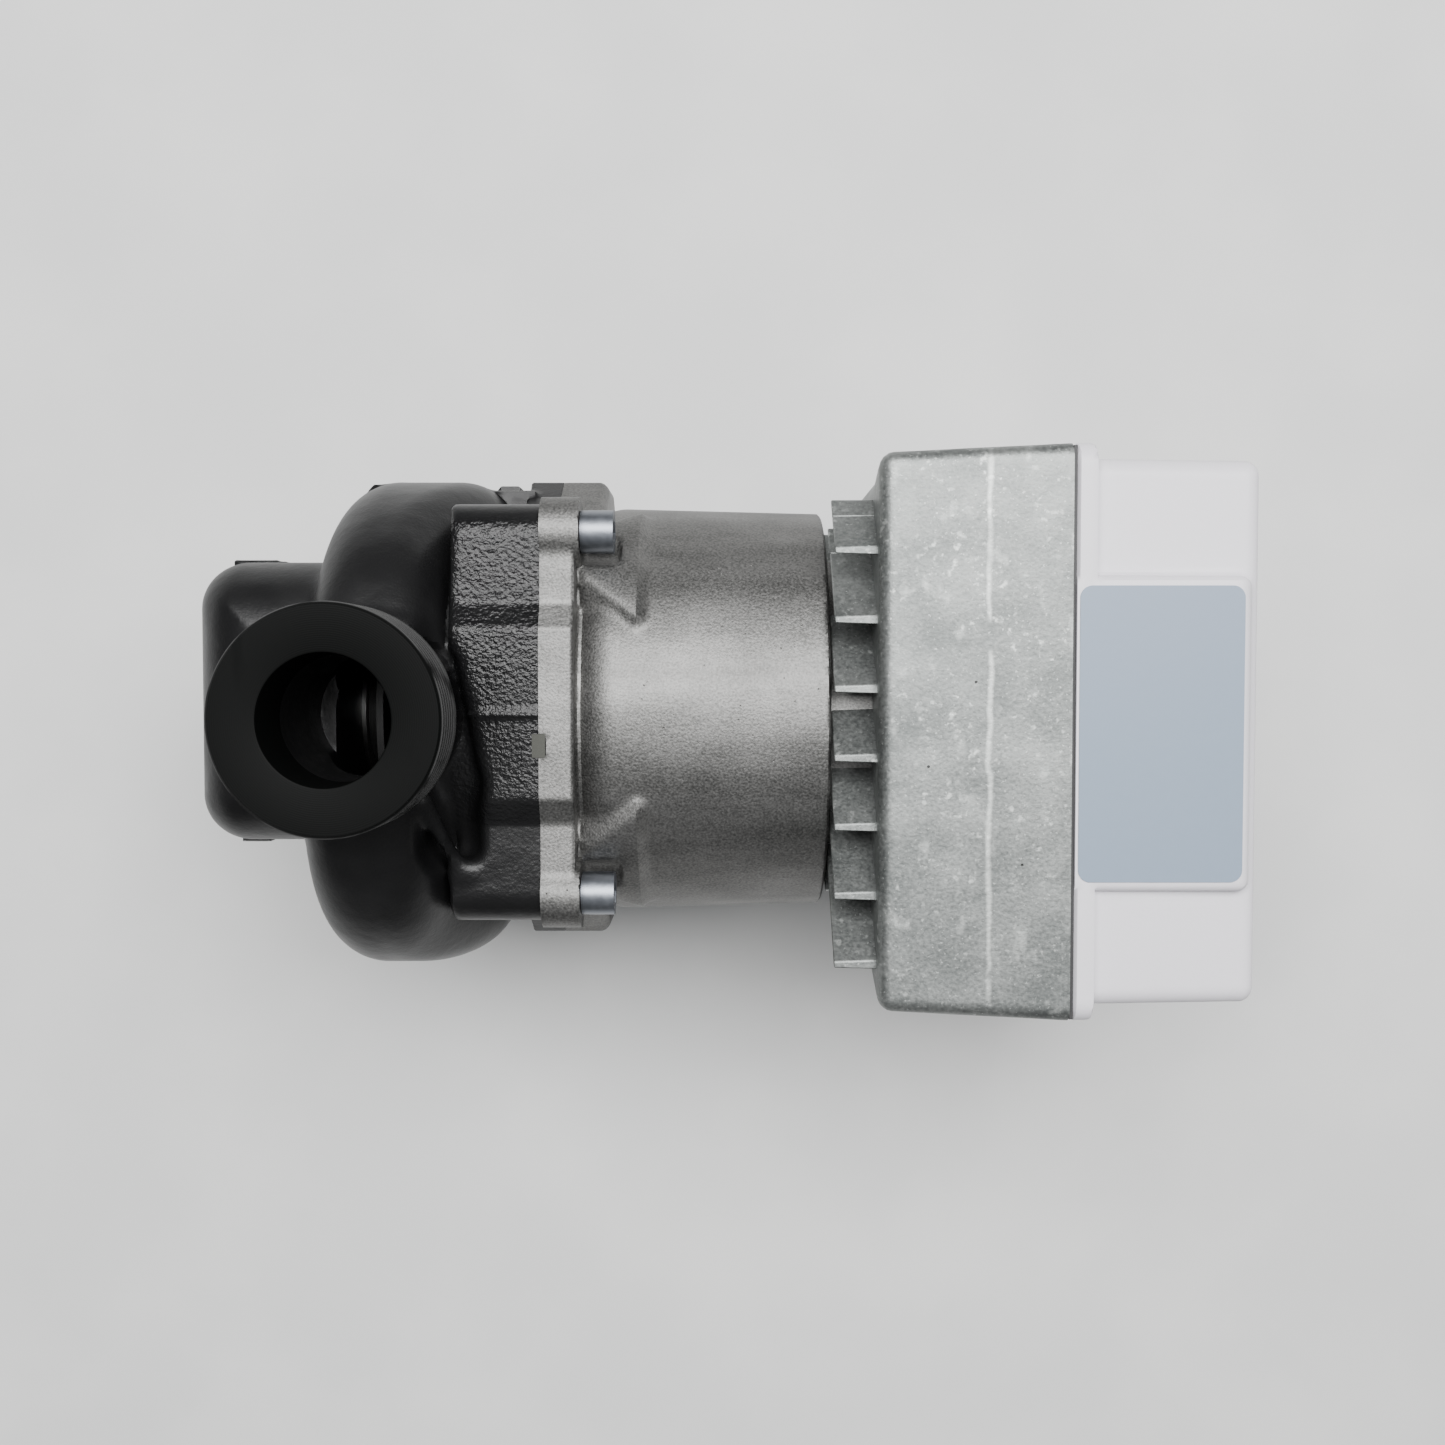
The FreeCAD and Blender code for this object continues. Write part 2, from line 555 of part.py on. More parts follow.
def pump_housing():
    front = -SIZES["volute_front"][0]
    back = SIZES["volute_back"][0]
    volute = spiral("volute", "0", "-volute_front", "volute_back")
    round_front = rounded("volute_front_rounds", volute, "volute_round", at_plane(front))
    round_back = rounded("volute_back_rounds", round_front, "volute_round", at_plane(back))
    chest = block(
        "suction_chest",
        ("-suction_front", "-volute_front + volute_round"),
        ("suction_shift - suction_half_width", "suction_shift + suction_half_width"),
        ("-suction_bottom", "suction_top"),
    )
    hidden = SIZES["volute_round"][0] - SIZES["volute_front"][0]
    in_sight = lambda box: box.XMin < hidden - 0.1
    chest_round = rounded("suction_chest_rounds", chest, "suction_round", in_sight)
    skirt = doc.addObject("Part::Cone", "upper_skirt")
    bind(skirt, Radius1="skirt_radius", Radius2="neck_radius", Height="volute_top - bottom_reach * 0.8")
    put(skirt, "0", "0", from_axis("bottom_reach * 0.8"))
    solid = fuse(
        "housing_solid",
        [
            round_back,
            chest_round,
            flange("square_block", "joint_x - block_length", "joint_x"),
            skirt,
            pipe("lower_thread", "port_radius", "0", "thread_length"),
            pipe("upper_thread", "port_radius", "port_to_port - thread_length", "port_to_port"),
            pipe("upper_neck", "neck_radius", "axis_height", "port_to_port"),
            slanted("leaning_neck", "suction_outer"),
            ball("lower_elbow_outside", "suction_outer", "0", "suction_turn"),
            ball("upper_elbow_outside", "suction_outer", "-suction_reach", "suction_turn + turn_rise"),
            pipe(
                "rising_neck",
                "suction_outer",
                "suction_turn + turn_rise",
                "axis_height",
                "-suction_reach",
            ),
        ],
    )
    chamber = spiral("chamber", "housing_wall", "housing_wall - volute_front", "volute_back - housing_wall")
    inner_half = "(suction_half_width - housing_wall)"
    inner_chest = block(
        "suction_room",
        ("housing_wall - suction_front", "-volute_front - suction_gap"),
        (f"suction_shift - {inner_half}", f"suction_shift + {inner_half}"),
        ("housing_wall - suction_bottom", "suction_top - housing_wall"),
    )
    # A knife plane under the lower face trims the leaning neck flush with it.
    below = block(
        "below_the_face",
        ("-suction_front", "suction_front"),
        ("-suction_front", "suction_front"),
        ("-axis_height - suction_front", "-axis_height"),
    )
    screw_holes = [
        rod(
            f"iron_screw_hole_{n}",
            "motor_screw + fit_gap",
            "joint_x - motor_screw_grip - screw_tip_room",
            "joint_x",
            f"{y} * screw_offset",
            f"{z} * screw_offset",
        )
        for n, (y, z) in enumerate(CORNERS)
    ]
    hollow = [
        chamber,
        inner_chest,
        below,
        rod("assembly_bore", "chamber_bore", "0", "joint_x"),
        rod("seal_seat", "rim_radius - seal_land", "joint_x - 2 * seal_cord", "joint_x"),
        rod("eye", "eye_radius + neck_ring_wall", "-volute_front - housing_wall", "0"),
        pipe("lower_bore", "port_bore", "0", "suction_turn"),
        ball("lower_elbow", "port_bore", "0", "suction_turn"),
        slanted("leaning_bore", "suction_bore"),
        ball("upper_elbow", "suction_bore", "-suction_reach", "suction_turn + turn_rise"),
        pipe("rising_bore", "suction_bore", "suction_turn + turn_rise", "axis_height", "-suction_reach"),
        pipe("upper_bore", "port_bore", "axis_height + chamber_bore - edge_chamfer", "port_to_port"),
        plug_slot("iron_plug_slot"),
    ]
    finished(cut("housing", solid, hollow + screw_holes), "pump_housing")


def plug_slot(name):
    """The drain slot that is cut across the joint in the top of the flange."""
    return block(
        name,
        ("joint_x - plug_length / 2 - fit_gap", "joint_x + plug_length / 2 + fit_gap"),
        ("plug_shift - plug_width / 2 - fit_gap", "plug_shift + plug_width / 2 + fit_gap"),
        ("pad_half - plug_depth", "pad_half + 1"),
    )


def drain_plug():
    item = block(
        "plug",
        ("joint_x - plug_length / 2", "joint_x + plug_length / 2"),
        ("plug_shift - plug_width / 2", "plug_shift + plug_width / 2"),
        ("pad_half - plug_depth", "pad_half - 0.2"),
    )
    finished(item, "drain_slot_plug")


def wet_end():
    """The still pieces between the iron housing and the can."""
    neck = ring(
        "neck",
        "eye_radius",
        "eye_radius + neck_ring_wall",
        "skin_gap - volute_front - suction_gap / 2",
        "edge_chamfer - volute_front + housing_wall",
    )
    finished(neck, "neck_ring")
    seal = doc.addObject("Part::Torus", "seal")
    bind(seal, Radius1="rim_radius - seal_land - seal_slack - seal_cord", Radius2="seal_cord")
    finished(put(seal, "joint_x - seal_cord", "0", "axis_height", ALONG_X), "housing_seal")
    pot_outer = "chamber_bore - skin_gap"
    pot_inner = pot_outer + " - plate_thick"
    plate = turned(
        "plate",
        [
            ("plate_front", "bearing_radius - bearing_lip"),
            ("plate_front", pot_outer),
            ("joint_x", pot_outer),
            ("joint_x", "rim_radius"),
            ("can_flange", "rim_radius"),
            ("can_flange", pot_inner),
            ("plate_front + plate_thick", pot_inner),
            ("plate_front + plate_thick", "bearing_radius + plate_thick"),
            ("bearing_back", "bearing_radius + plate_thick"),
            ("bearing_back", "bearing_radius"),
            ("bearing_front", "bearing_radius"),
            ("bearing_front", "bearing_radius - bearing_lip"),
        ],
    )
    finished(plate, "bearing_plate")
    bush = ("shaft_radius + bearing_gap", "bearing_radius")
    finished(ring("front_bush", *bush, "bearing_front", "bearing_back"), "front_bearing")
    finished(ring("rear_bush", *bush, "rear_bearing_front", "rear_bearing_back"), "rear_bearing")
    can = turned(
        "can",
        [
            ("can_flange", "can_inner"),
            ("can_flange", "rim_radius"),
            ("can_flange + can_rim", "rim_radius"),
            ("can_flange + can_rim", "can_outer"),
            ("rear_bearing_front + can_wall", "can_outer"),
            ("rear_bearing_front + can_wall", "bearing_radius + can_wall"),
            ("can_end", "bearing_radius + can_wall"),
            ("can_end", "0"),
            ("can_end - can_wall", "0"),
            ("can_end - can_wall", "bearing_radius"),
            ("rear_bearing_front", "bearing_radius"),
            ("rear_bearing_front", "can_inner"),
        ],
    )
    finished(can, "separation_can")


# ---------------------------------------------------------------- the rotor

def impeller():
    shroud = turned(
        "front_shroud",
        [
            ("edge_chamfer - volute_front", "eye_radius - neck_ring_gap - skirt_wall"),
            ("edge_chamfer - volute_front", "eye_radius - neck_ring_gap"),
            ("outlet_x - shroud_thick * 4", "eye_radius - neck_ring_gap"),
            ("outlet_x - shroud_thick * 2", "eye_radius + hub_length"),
            ("outlet_x - shroud_thick", "impeller_radius"),
            ("outlet_x", "impeller_radius"),
            ("outlet_x - shroud_thick * 0.9", "eye_radius + hub_length"),
            ("outlet_x - shroud_thick * 3", "eye_radius - neck_ring_gap - skirt_wall"),
        ],
    )
    disc = turned(
        "back_plate",
        [
            ("outlet_x - hub_length", "shaft_radius"),
            ("outlet_x - hub_length", "hub_radius - edge_chamfer"),
            ("back_disc - edge_chamfer", "hub_radius + 2 * edge_chamfer"),
            ("back_disc", "impeller_radius"),
            ("back_disc + shroud_thick", "impeller_radius"),
            ("back_disc + shroud_thick", "shaft_radius"),
        ],
    )
    # Each blade is an arc about a point off the axis, from the eye to the rim of the discs.
    sweep = (
        "acos((blade_offset ^ 2 + blade_round ^ 2 - {} ^ 2) / (2 * blade_offset * blade_round))"
    )
    first = "(eye_radius - 2)"
    last = "(impeller_radius - blade_thick / 2)"
    pieces = [shroud, disc]
    for n in range(BLADES):
        spoke = FreeCAD.Rotation(FreeCAD.Vector(0, 0, 1), 360.0 * n / BLADES)
        outside = doc.addObject("Part::Cylinder", f"blade_outside_{n}")
        inside = doc.addObject("Part::Cylinder", f"blade_inside_{n}")
        bind(outside, Radius="blade_round + blade_thick / 2")
        bind(inside, Radius="blade_round - blade_thick / 2")
        bind(outside, Angle=f"{sweep.format(last)} - {sweep.format(first)}")
        for half in (outside, inside):
            bind(half, Height="back_disc - outlet_x + shroud_thick")
        blade = cut(f"blade_{n}", outside, [inside])
        # The cylinders start their arc opposite the axis, so the start angle is taken off half a turn.
        for half in (outside, inside):
            centre = spoke.multVec(FreeCAD.Vector(1, 0, 0))
            half.Placement = FreeCAD.Placement(FreeCAD.Vector(), FreeCAD.Rotation())
            half.setExpression("Placement.Base.x", expand(f"blade_offset * {centre.x:.6f}"))
            half.setExpression("Placement.Base.y", expand(f"blade_offset * {centre.y:.6f}"))
            half.Placement.Rotation = FreeCAD.Rotation(FreeCAD.Vector(0, 0, 1), 0)
            turn = f"{360.0 * n / BLADES:.4f} deg + 180 deg + {sweep.format(first)}"
            half.setExpression("Placement.Rotation.Angle", expand(turn))
        put(blade, "outlet_x - shroud_thick * 0.7", "0", "axis_height", ALONG_X)
        pieces.append(blade)
    finished(fuse("impeller_wheel", pieces), "impeller")


def rotor():
    clip_front = "outlet_x - hub_length - clip_length"
    shaft = rod("shaft", "shaft_radius", f"{clip_front} - shaft_nose", "rear_bearing_back - shaft_nose")
    finished(shaft, "rotor_shaft")
    clip_radius = "hub_radius - 1.5 * edge_chamfer"
    clip = ring("clip", "shaft_radius", clip_radius, clip_front, "outlet_x - hub_length")
    finished(clip, "impeller_clip")
    impeller()
    thrust = ring("thrust", "shaft_radius", "bearing_radius", "thrust_front", "thrust_front + thrust_thick")
    finished(thrust, "thrust_ring")
    span = ("stack_start - overhang", "stack_end + overhang")
    carried = "shaft_radius + carrier_wall"
    finished(ring("magnet", carried, "magnet_radius", *span), "rotor_magnet")
    finished(ring("carrier", "shaft_radius", carried, *span), "magnet_carrier")
    sleeve_front = f"{span[0]} - sleeve_wall"
    sleeve_back = f"{span[1]} + sleeve_wall"
    sleeve = turned(
        "sleeve",
        [
            (sleeve_front, "shaft_radius"),
            (sleeve_front, "magnet_radius + sleeve_wall"),
            (sleeve_back, "magnet_radius + sleeve_wall"),
            (sleeve_back, "shaft_radius"),
            (span[1], "shaft_radius"),
            (span[1], "magnet_radius"),
            (span[0], "magnet_radius"),
            (span[0], "shaft_radius"),
        ],
    )
    finished(sleeve, "rotor_sleeve")


# ---------------------------------------------------------------- the motor

def spoke(name, x, width, radial, n):
    """A box that stands off the motor axis between two radii, at the n-th tooth."""
    angle = 360.0 * n / TEETH
    item = doc.addObject("Part::Box", name)
    bind(
        item,
        Length=f"({x[1]}) - ({x[0]})",
        Width=width,
        Height=f"({radial[1]}) - ({radial[0]})",
    )
    turn = FreeCAD.Rotation(FreeCAD.Vector(1, 0, 0), angle)
    across = turn.multVec(FreeCAD.Vector(0, 1, 0))
    out = turn.multVec(FreeCAD.Vector(0, 0, 1))
    y = f"({radial[0]}) * {out.y:.6f} - ({width}) / 2 * {across.y:.6f}"
    z = f"({radial[0]}) * {out.z:.6f} - ({width}) / 2 * {across.z:.6f}"
    return put(item, x[0], y, from_axis(z), turn)


def stator():
    span = ("stack_start", "stack_end")
    yoke = ring("yoke", "yoke_inner", "barrel_bore", *span)
    teeth = [yoke]
    coils = []
    for n in range(TEETH):
        reach = ("can_outer - tip_gap", "yoke_inner + tip_gap")
        teeth.append(spoke(f"tooth_{n}", span, "tooth_width", reach, n))
        tip = ("can_outer - tip_gap", "stator_bore + tip_height")
        teeth.append(spoke(f"tip_{n}", span, "tip_width", tip, n))
        wire = ("stator_bore + tip_height + tip_gap", "yoke_inner - tooth_root")
        wide = spoke(
            f"coil_outside_{n}",
            ("stack_start - coil_head", "stack_end + coil_head"),
            "tooth_width + 2 * (coil_width + coil_gap)",
            wire,
            n,
        )
        narrow = spoke(
            f"coil_inside_{n}",
            ("stack_start - coil_gap", "stack_end + coil_gap"),
            "tooth_width + 2 * coil_gap",
            wire,
            n,
        )
        coils.append(cut(f"coil_{n}", wide, [narrow]))
    bore = rod("stack_bore", "stator_bore", "stack_start - past", "stack_end + past")
    finished(cut("stack", fuse("stack_iron", teeth), [bore]), "stator_core")
    finished(group("coils", coils), "stator_windings")
    collar = ("yoke_inner + skin_gap", "barrel_bore - collar_wall / 2")
    front = ring("front_collar", *collar, "stack_start - coil_head - collar_wall", "stack_start")
    finished(front, "front_insulator")
    rear = ring("rear_collar", *collar, "stack_end", "stack_end + coil_head + collar_wall")
    finished(rear, "rear_insulator")


def saddle(name, n, y, z):
    """A raised saddle on the barrel behind one motor screw; it widens away from the flange."""
    near = "(screw_offset * 2 / 3)"
    side = "(screw_offset * 0.8)"
    far = "(flange_half * 1.28)"
    low = "saddle_foot"
    corner = [(near, near), (side, low), (far, low), (far, far), (low, far), (low, side)]
    points = [(f"{y} * {across}", f"{z} * {up}") for across, up in corner]
    prism = padded(f"{name}_prism_{n}", points, "flange_back", "flange_back + saddle_length")
    shell = rod(f"{name}_shell_{n}", "barrel_radius + saddle_rise", "flange_back - past", "motor_end")
    return common(f"{name}_{n}", prism, shell)


def motor_housing():
    # The barrel's outline: a valley behind the flange, the long drafted barrel, then its neck.
    barrel = turned(
        "barrel",
        [
            ("joint_x", "0"),
            ("joint_x", "barrel_radius - valley_depth"),
            ("flange_back + edge_chamfer", "barrel_radius - valley_depth"),
            ("flange_back + valley_length * 0.5", "barrel_radius - valley_depth * 0.3"),
            ("flange_back + valley_length", "barrel_radius"),
            ("barrel_end", "barrel_radius - barrel_draft"),
            ("barrel_end", "neck_reach"),
            ("motor_end", "neck_reach"),
            ("motor_end", "0"),
        ],
    )
    solid = [barrel, flange("motor_flange", "joint_x", "flange_back")]
    solid += [saddle("saddle", n, y, z) for n, (y, z) in enumerate(CORNERS)]
    hollow = [
        fuse(
            "motor_room",
            [
                rod("motor_bore", "barrel_bore", "joint_x", "barrel_end - rear_wall"),
                rod("neck_bore", "neck_bore", "joint_x", "motor_end - rear_wall"),
            ],
        ),
        rod("rim_seat", "rim_radius + fit_gap", "joint_x", "can_flange + can_rim"),
        lead_way("motor_lead_way", "motor_end - rear_wall - past", "motor_end"),
        plug_slot("motor_plug_slot"),
    ]
    bosses = []
    for n, (y, z) in enumerate(CORNERS):
        at = (f"{y} * screw_offset", f"{z} * screw_offset")
        hole = rod(f"motor_screw_hole_{n}", "motor_screw + fit_gap", "joint_x", "flange_back + past", *at)
        pocket = rod(
            f"screw_pocket_{n}",
            "pocket_radius",
            "flange_back",
            "flange_back + pocket_length",
            *at,
        )
        hollow += [hole, pocket]
        inner = (f"{y} * sink_screw_reach / sqrt(2)", f"{z} * sink_screw_reach / sqrt(2)")
        start = "motor_end - rear_wall - sink_boss"
        bosses.append(rod(f"sink_boss_{n}", "sink_screw * 2.2", start, "motor_end - past", *inner))
        hollow.append(rod(f"sink_hole_{n}", "sink_screw + fit_gap", start, "motor_end", *inner))
    body = cut("motor_shell", fuse("motor_solid", solid), hollow[:1])
    finished(cut("motor_body", fuse("motor_bossed", [body] + bosses), hollow[1:]), "motor_housing")


def lead_way(name, start, end):
    """The slot that the winding connector passes through, under the motor axis."""
    low = "lead_low - neck_bore"
    return block(name, (start, end), ("-lead_half", "lead_half"), (low, f"{low} + lead_tall"))


def winding_connector():
    item = block(
        "connector",
        ("stack_end + coil_head + collar_wall + lead_tall / 2", "board_x"),
        ("lead_slack - lead_half", "lead_half - lead_slack"),
        ("lead_low + lead_slack - neck_bore", "lead_low + lead_tall - lead_slack - neck_bore"),
    )
    finished(item, "winding_connector")


def socket_screw(name, shank, head, head_height, start, length, y, z):
    """A socket head screw that points to -X; start is the seat of its head."""
    solid = fuse(
        name + "_solid",
        [
            rod(name + "_shank", shank, f"({start}) - ({length})", start, y, z),
            rod(name + "_head", head, start, f"({start}) + ({head_height})", y, z),
        ],
    )
    socket = doc.addObject("Part::Prism", name + "_socket")
    socket.Polygon = 6
    bind(socket, Circumradius=f"({head}) * 0.58", Height=f"({head_height}) * 0.55 + past")
    put(socket, f"({start}) + ({head_height}) * 0.45", y, from_axis(z), ALONG_X)
    return cut(name, solid, [socket])


def motor_screws():
    screws = []
    washers = []
    for n, (y, z) in enumerate(CORNERS):
        at = (f"{y} * screw_offset", f"{z} * screw_offset")
        seat = "flange_back + washer_thick"
        length = "motor_screw_grip + flange_thick + washer_thick"
        name = f"motor_screw_{n}"
        screws.append(socket_screw(name, "motor_screw", "motor_head", "motor_screw * 2", seat, length, *at))
        disc = rod(f"washer_disc_{n}", "washer_radius", "flange_back", seat, *at)
        hole = rod(f"washer_hole_{n}", "motor_screw + fit_gap", "flange_back - past", f"{seat} + past", *at)
        washers.append(cut(f"washer_{n}", disc, [hole]))
    finished(group("motor_screw_set", screws), "motor_screws")
    finished(group("washer_set", washers), "motor_screw_washers")


# ---------------------------------------------------------------- the electronics box

def box_at(name, x, half_width, half_height):
    """A box about the middle of the electronics box."""
    y = (f"{BOX_Y} - ({half_width})", f"{BOX_Y} + ({half_width})")
    return block(name, x, y, (f"-({half_height})", half_height))


def cooling_fins():
    """Slanting fins across the front of the box, cut back to a field; the barrel's neck goes through them."""
    plates = []
    slant = FreeCAD.Rotation(FreeCAD.Vector(1, 0, 0), -45)
    for n in FINS:
        item = doc.addObject("Part::Box", f"fin_{n - FINS.start}")
        bind(item, Length="fin_length + past", Width="fin_half_width * 6", Height="fin_thick")
        edge = f"{BOX_Y} + fin_phase + {n} * fin_pitch"
        y = f"{edge} - fin_half_width"
        z = "fin_half_height + fin_half_width"
        put(item, "box_start - fin_length", y, from_axis(z), slant)
        plates.append(item)
    span = ("box_start - fin_length", "box_start + past")
    field = box_at("fin_field", span, "fin_half_width", "fin_half_height")
    return common("fins", field, fuse("fin_plates", plates))


def board_corner(y, z):
    """The place of a board screw in one corner."""
    across = f"{BOX_Y} + {y} * (board_half_width - board_screw_inset)"
    return across, f"{z} * (board_half_height - board_screw_inset)"


def entry_way(name, radius, y_sign, low, high):
    """A cylinder through the box's lower wall, at one of the two cable entries."""
    return pipe(
        name,
        radius,
        f"axis_height + ({low})",
        f"axis_height + ({high})",
        "box_start + entry_x",
        f"{BOX_Y} + {y_sign} * entry_y",
    )


def heat_sink():
    shell = doc.addObject("Part::Wedge", "box_outside")
    half = "box_half_width - box_draft"
    tall = "box_half_height - box_draft"
    bind(
        shell,
        Xmin=f"-({half})",
        Xmax=half,
        Ymin="0",
        Ymax="box_depth",
        Zmin=f"-({tall})",
        Zmax=tall,
        X2min="-box_half_width",
        X2max="box_half_width",
        Z2min="-box_half_height",
        Z2max="box_half_height",
    )
    across = FreeCAD.Rotation(FreeCAD.Vector(0, 0, 1), -90)
    put(shell, "box_start", BOX_Y, "axis_height", across)
    doc.recompute()
    open_side = shell.Shape.BoundBox.XMax
    soft = rounded("box_rounds", shell, "box_round", lambda box: box.XMin < open_side - 0.1)
    room = box_at("box_room", ("floor_x", "box_open + past"), "room_half_width", "room_half_height")
    posts = []
    holes = [lead_way("box_lead_way", "box_start - past", "floor_x + past")]
    for n, (y, z) in enumerate(CORNERS):
        at = (f"{BOX_Y} + {y} * post_y", f"{z} * post_z")
        posts.append(rod(f"box_post_{n}", "post_radius", "floor_x - past", "box_open", *at))
        deep = "box_open - cover_screw_length"
        holes.append(rod(f"box_post_hole_{n}", "cover_screw + fit_gap", deep, "box_open", *at))
        at = board_corner(y, z)
        posts.append(rod(f"board_post_{n}", "board_screw * 2.4", "floor_x - past", "board_x", *at))
        deep = "board_x - board_screw_length"
        holes.append(rod(f"board_post_hole_{n}", "board_screw + fit_gap", deep, "board_x", *at))
        at = (f"{y} * sink_screw_reach / sqrt(2)", f"{z} * sink_screw_reach / sqrt(2)")
        through = ("box_start - past", "floor_x + past")
        holes.append(rod(f"box_sink_hole_{n}", "sink_screw + fit_gap", *through, *at))
    for side, sign in (("power", "1"), ("signal", "-1")):
        low = "-box_half_height - past"
        high = "locknut_seat"
        holes.append(entry_way(f"{side}_hole", "entry_radius + fit_gap", sign, low, high))
    around = rod("neck_clearance", "neck_reach + skin_gap", "box_start - fin_length - past", "box_start")
    fins = cut("fins_round_neck", cooling_fins(), [around])
    shell_open = cut("box_hollow", soft, [room])
    body = fuse("box_solid", [shell_open, fins] + posts)
    finished(cut("box_body", body, holes), "heat_sink_housing")


def frame_ring(name, x, half_width, half_height, width):
    """A thin frame round the box's rim."""
    outside = box_at(name + "_outside", x, half_width, half_height)
    wide = (f"({x[0]}) - past", f"({x[1]}) + past")
    inside = box_at(
        name + "_inside",
        wide,
        f"({half_width}) - ({width})",
        f"({half_height}) - ({width})",
    )
    return cut(name, outside, [inside])


def box_gasket():
    """The dark line between the two halves, with eyes for the cover screws."""
    frame = frame_ring(
        "gasket_frame",
        ("box_open", "cover_start"),
        "box_half_width - gasket_inset",
        "box_half_height - gasket_inset",
        "box_wall - gasket_inset - skin_gap",
    )
    finished(frame, "box_gasket")


def cover():
    whole = ("cover_start", "cover_end")
    rim_span = ("cover_start", "cover_start + rim_depth")
    rim = box_at("cover_rim", rim_span, "rim_half_width", "rim_half_height")
    raised = box_at("cover_raised", whole, "rim_half_width - cover_step", "rim_half_height - cover_step")
    band = box_at(
        "cover_band",
        ("cover_start", "cover_end - plateau_end"),
        "plateau_half_width",
        "rim_half_height",
    )
    along = lambda box: box.YLength + box.ZLength < 0.01
    rim_soft = rounded("cover_rim_rounds", rim, "cover_round", along)
    doc.recompute()
    start = raised.Shape.BoundBox.XMin
    raised_soft = rounded("cover_raised_rounds", raised, "cover_round", lambda box: box.XMax > start + 0.1)
    inner = box_at(
        "cover_room",
        ("cover_start - past", "cover_end - cover_wall"),
        "rim_half_width - cover_step - cover_wall",
        "rim_half_height - cover_step - cover_wall",
    )
    body = cut("cover_hollow", fuse("cover_outside", [rim_soft, raised_soft, band]), [inner])
    posts = [body]
    holes = []
    for n, (y, z) in enumerate(CORNERS):
        at = (f"{BOX_Y} + {y} * post_y", f"{z} * post_z")
        posts.append(rod(f"cover_post_{n}", "cover_post", "cover_start", "cover_end - cover_wall", *at))
        hole = ("cover_start - past", "cover_end")
        holes.append(rod(f"cover_hole_{n}", "cover_screw + fit_gap", *hole, *at))
        well = ("cover_start + cover_well", "cover_end + past")
        holes.append(rod(f"cover_well_{n}", "cover_screw * 2 + skin_gap", *well, *at))
    finished(cut("cover_body", fuse("cover_solid", posts), holes), "electronics_cover")


def cover_screws():
    screws = []
    for n, (y, z) in enumerate(CORNERS):
        at = (f"{BOX_Y} + {y} * post_y", f"{z} * post_z")
        seat = "cover_start + cover_well"
        size = ("cover_screw", "cover_screw * 2", "cover_screw * 1.75", seat, "cover_screw_length")
        screws.append(socket_screw(f"cover_screw_{n}", *size, *at))
    finished(group("cover_screw_set", screws), "cover_screws")


def cover_label():
    plate = block(
        "label_plate",
        ("cover_start + label_inset", "cover_start + label_inset + label_length"),
        (f"{BOX_Y} - label_half_width", f"{BOX_Y} + label_half_width"),
        ("rim_half_height", "rim_half_height + label_thick"),
    )
    upright = lambda box: box.XLength + box.YLength < 0.01
    finished(rounded("label_rounds", plate, "label_round", upright), "cover_label")


def electronics():
    """The main board and the larger pieces on it."""
    board = box_at("board", ("board_x", "board_x + board_thick"), "board_half_width", "board_half_height")
    holes = []
    screws = []
    for n, (y, z) in enumerate(CORNERS):
        at = board_corner(y, z)
        hole = ("board_x - past", "board_top + past")
        holes.append(rod(f"board_hole_{n}", "board_screw + fit_gap", *hole, *at))
        size = ("board_screw", "board_screw * 1.9", "board_screw * 1.6", "board_top", "board_screw_length")
        screws.append(socket_screw(f"board_screw_{n}", *size, *at))
    finished(cut("board_drilled", board, holes), "main_board")
    finished(group("board_screw_set", screws), "board_screws")
    tanks = []
    for n in range(2):
        z = f"tank_z + {n} * tank_pitch"
        tanks.append(rod(f"tank_{n}", "tank_radius", "board_top", "board_top + tank_length", "tank_y", z))
    finished(group("tanks", tanks), "bus_capacitors")
    core = doc.addObject("Part::Torus", "core")
    bind(core, Radius1="choke_radius", Radius2="choke_cord")
    finished(put(core, "board_top + choke_cord", "choke_y", from_axis("choke_z"), ALONG_X), "line_choke")
    for name, label in (("terminal", "mains_terminal_block"), ("filter", "mains_filter_capacitor")):
        y = (f"{name}_y - {name}_width / 2", f"{name}_y + {name}_width / 2")
        z = (f"{name}_z - {name}_tall / 2", f"{name}_z + {name}_tall / 2")
        finished(block(name, ("board_top", f"board_top + {name}_rise"), y, z), label)
    y = ("box_shift - module_width / 2", "box_shift + module_width / 2")
    z = ("-module_tall / 2", "module_tall / 2")
    finished(block("pad", ("floor_x", "floor_x + pad_thick"), y, z), "thermal_pad")
    finished(block("module", ("floor_x + pad_thick", "board_x"), y, z), "power_module")


def sink_screws():
    screws = []
    for n, (y, z) in enumerate(CORNERS):
        at = (f"{y} * sink_screw_reach / sqrt(2)", f"{z} * sink_screw_reach / sqrt(2)")
        size = ("sink_screw", "sink_screw * 1.7", "sink_screw * 1.12", "floor_x", "sink_screw_length")
        screws.append(socket_screw(f"sink_screw_{n}", *size, *at))
    finished(group("sink_screw_set", screws), "heat_sink_screws")


def hexagon(name, z_low, z_high, y_sign):
    """A hexagonal block at a cable entry."""
    item = doc.addObject("Part::Prism", name)
    item.Polygon = 6
    bind(item, Circumradius="hex_half / cos(30)", Height=f"({z_high}) - ({z_low})")
    return put(item, "box_start + entry_x", f"{BOX_Y} + {y_sign} * entry_y", from_axis(z_low))


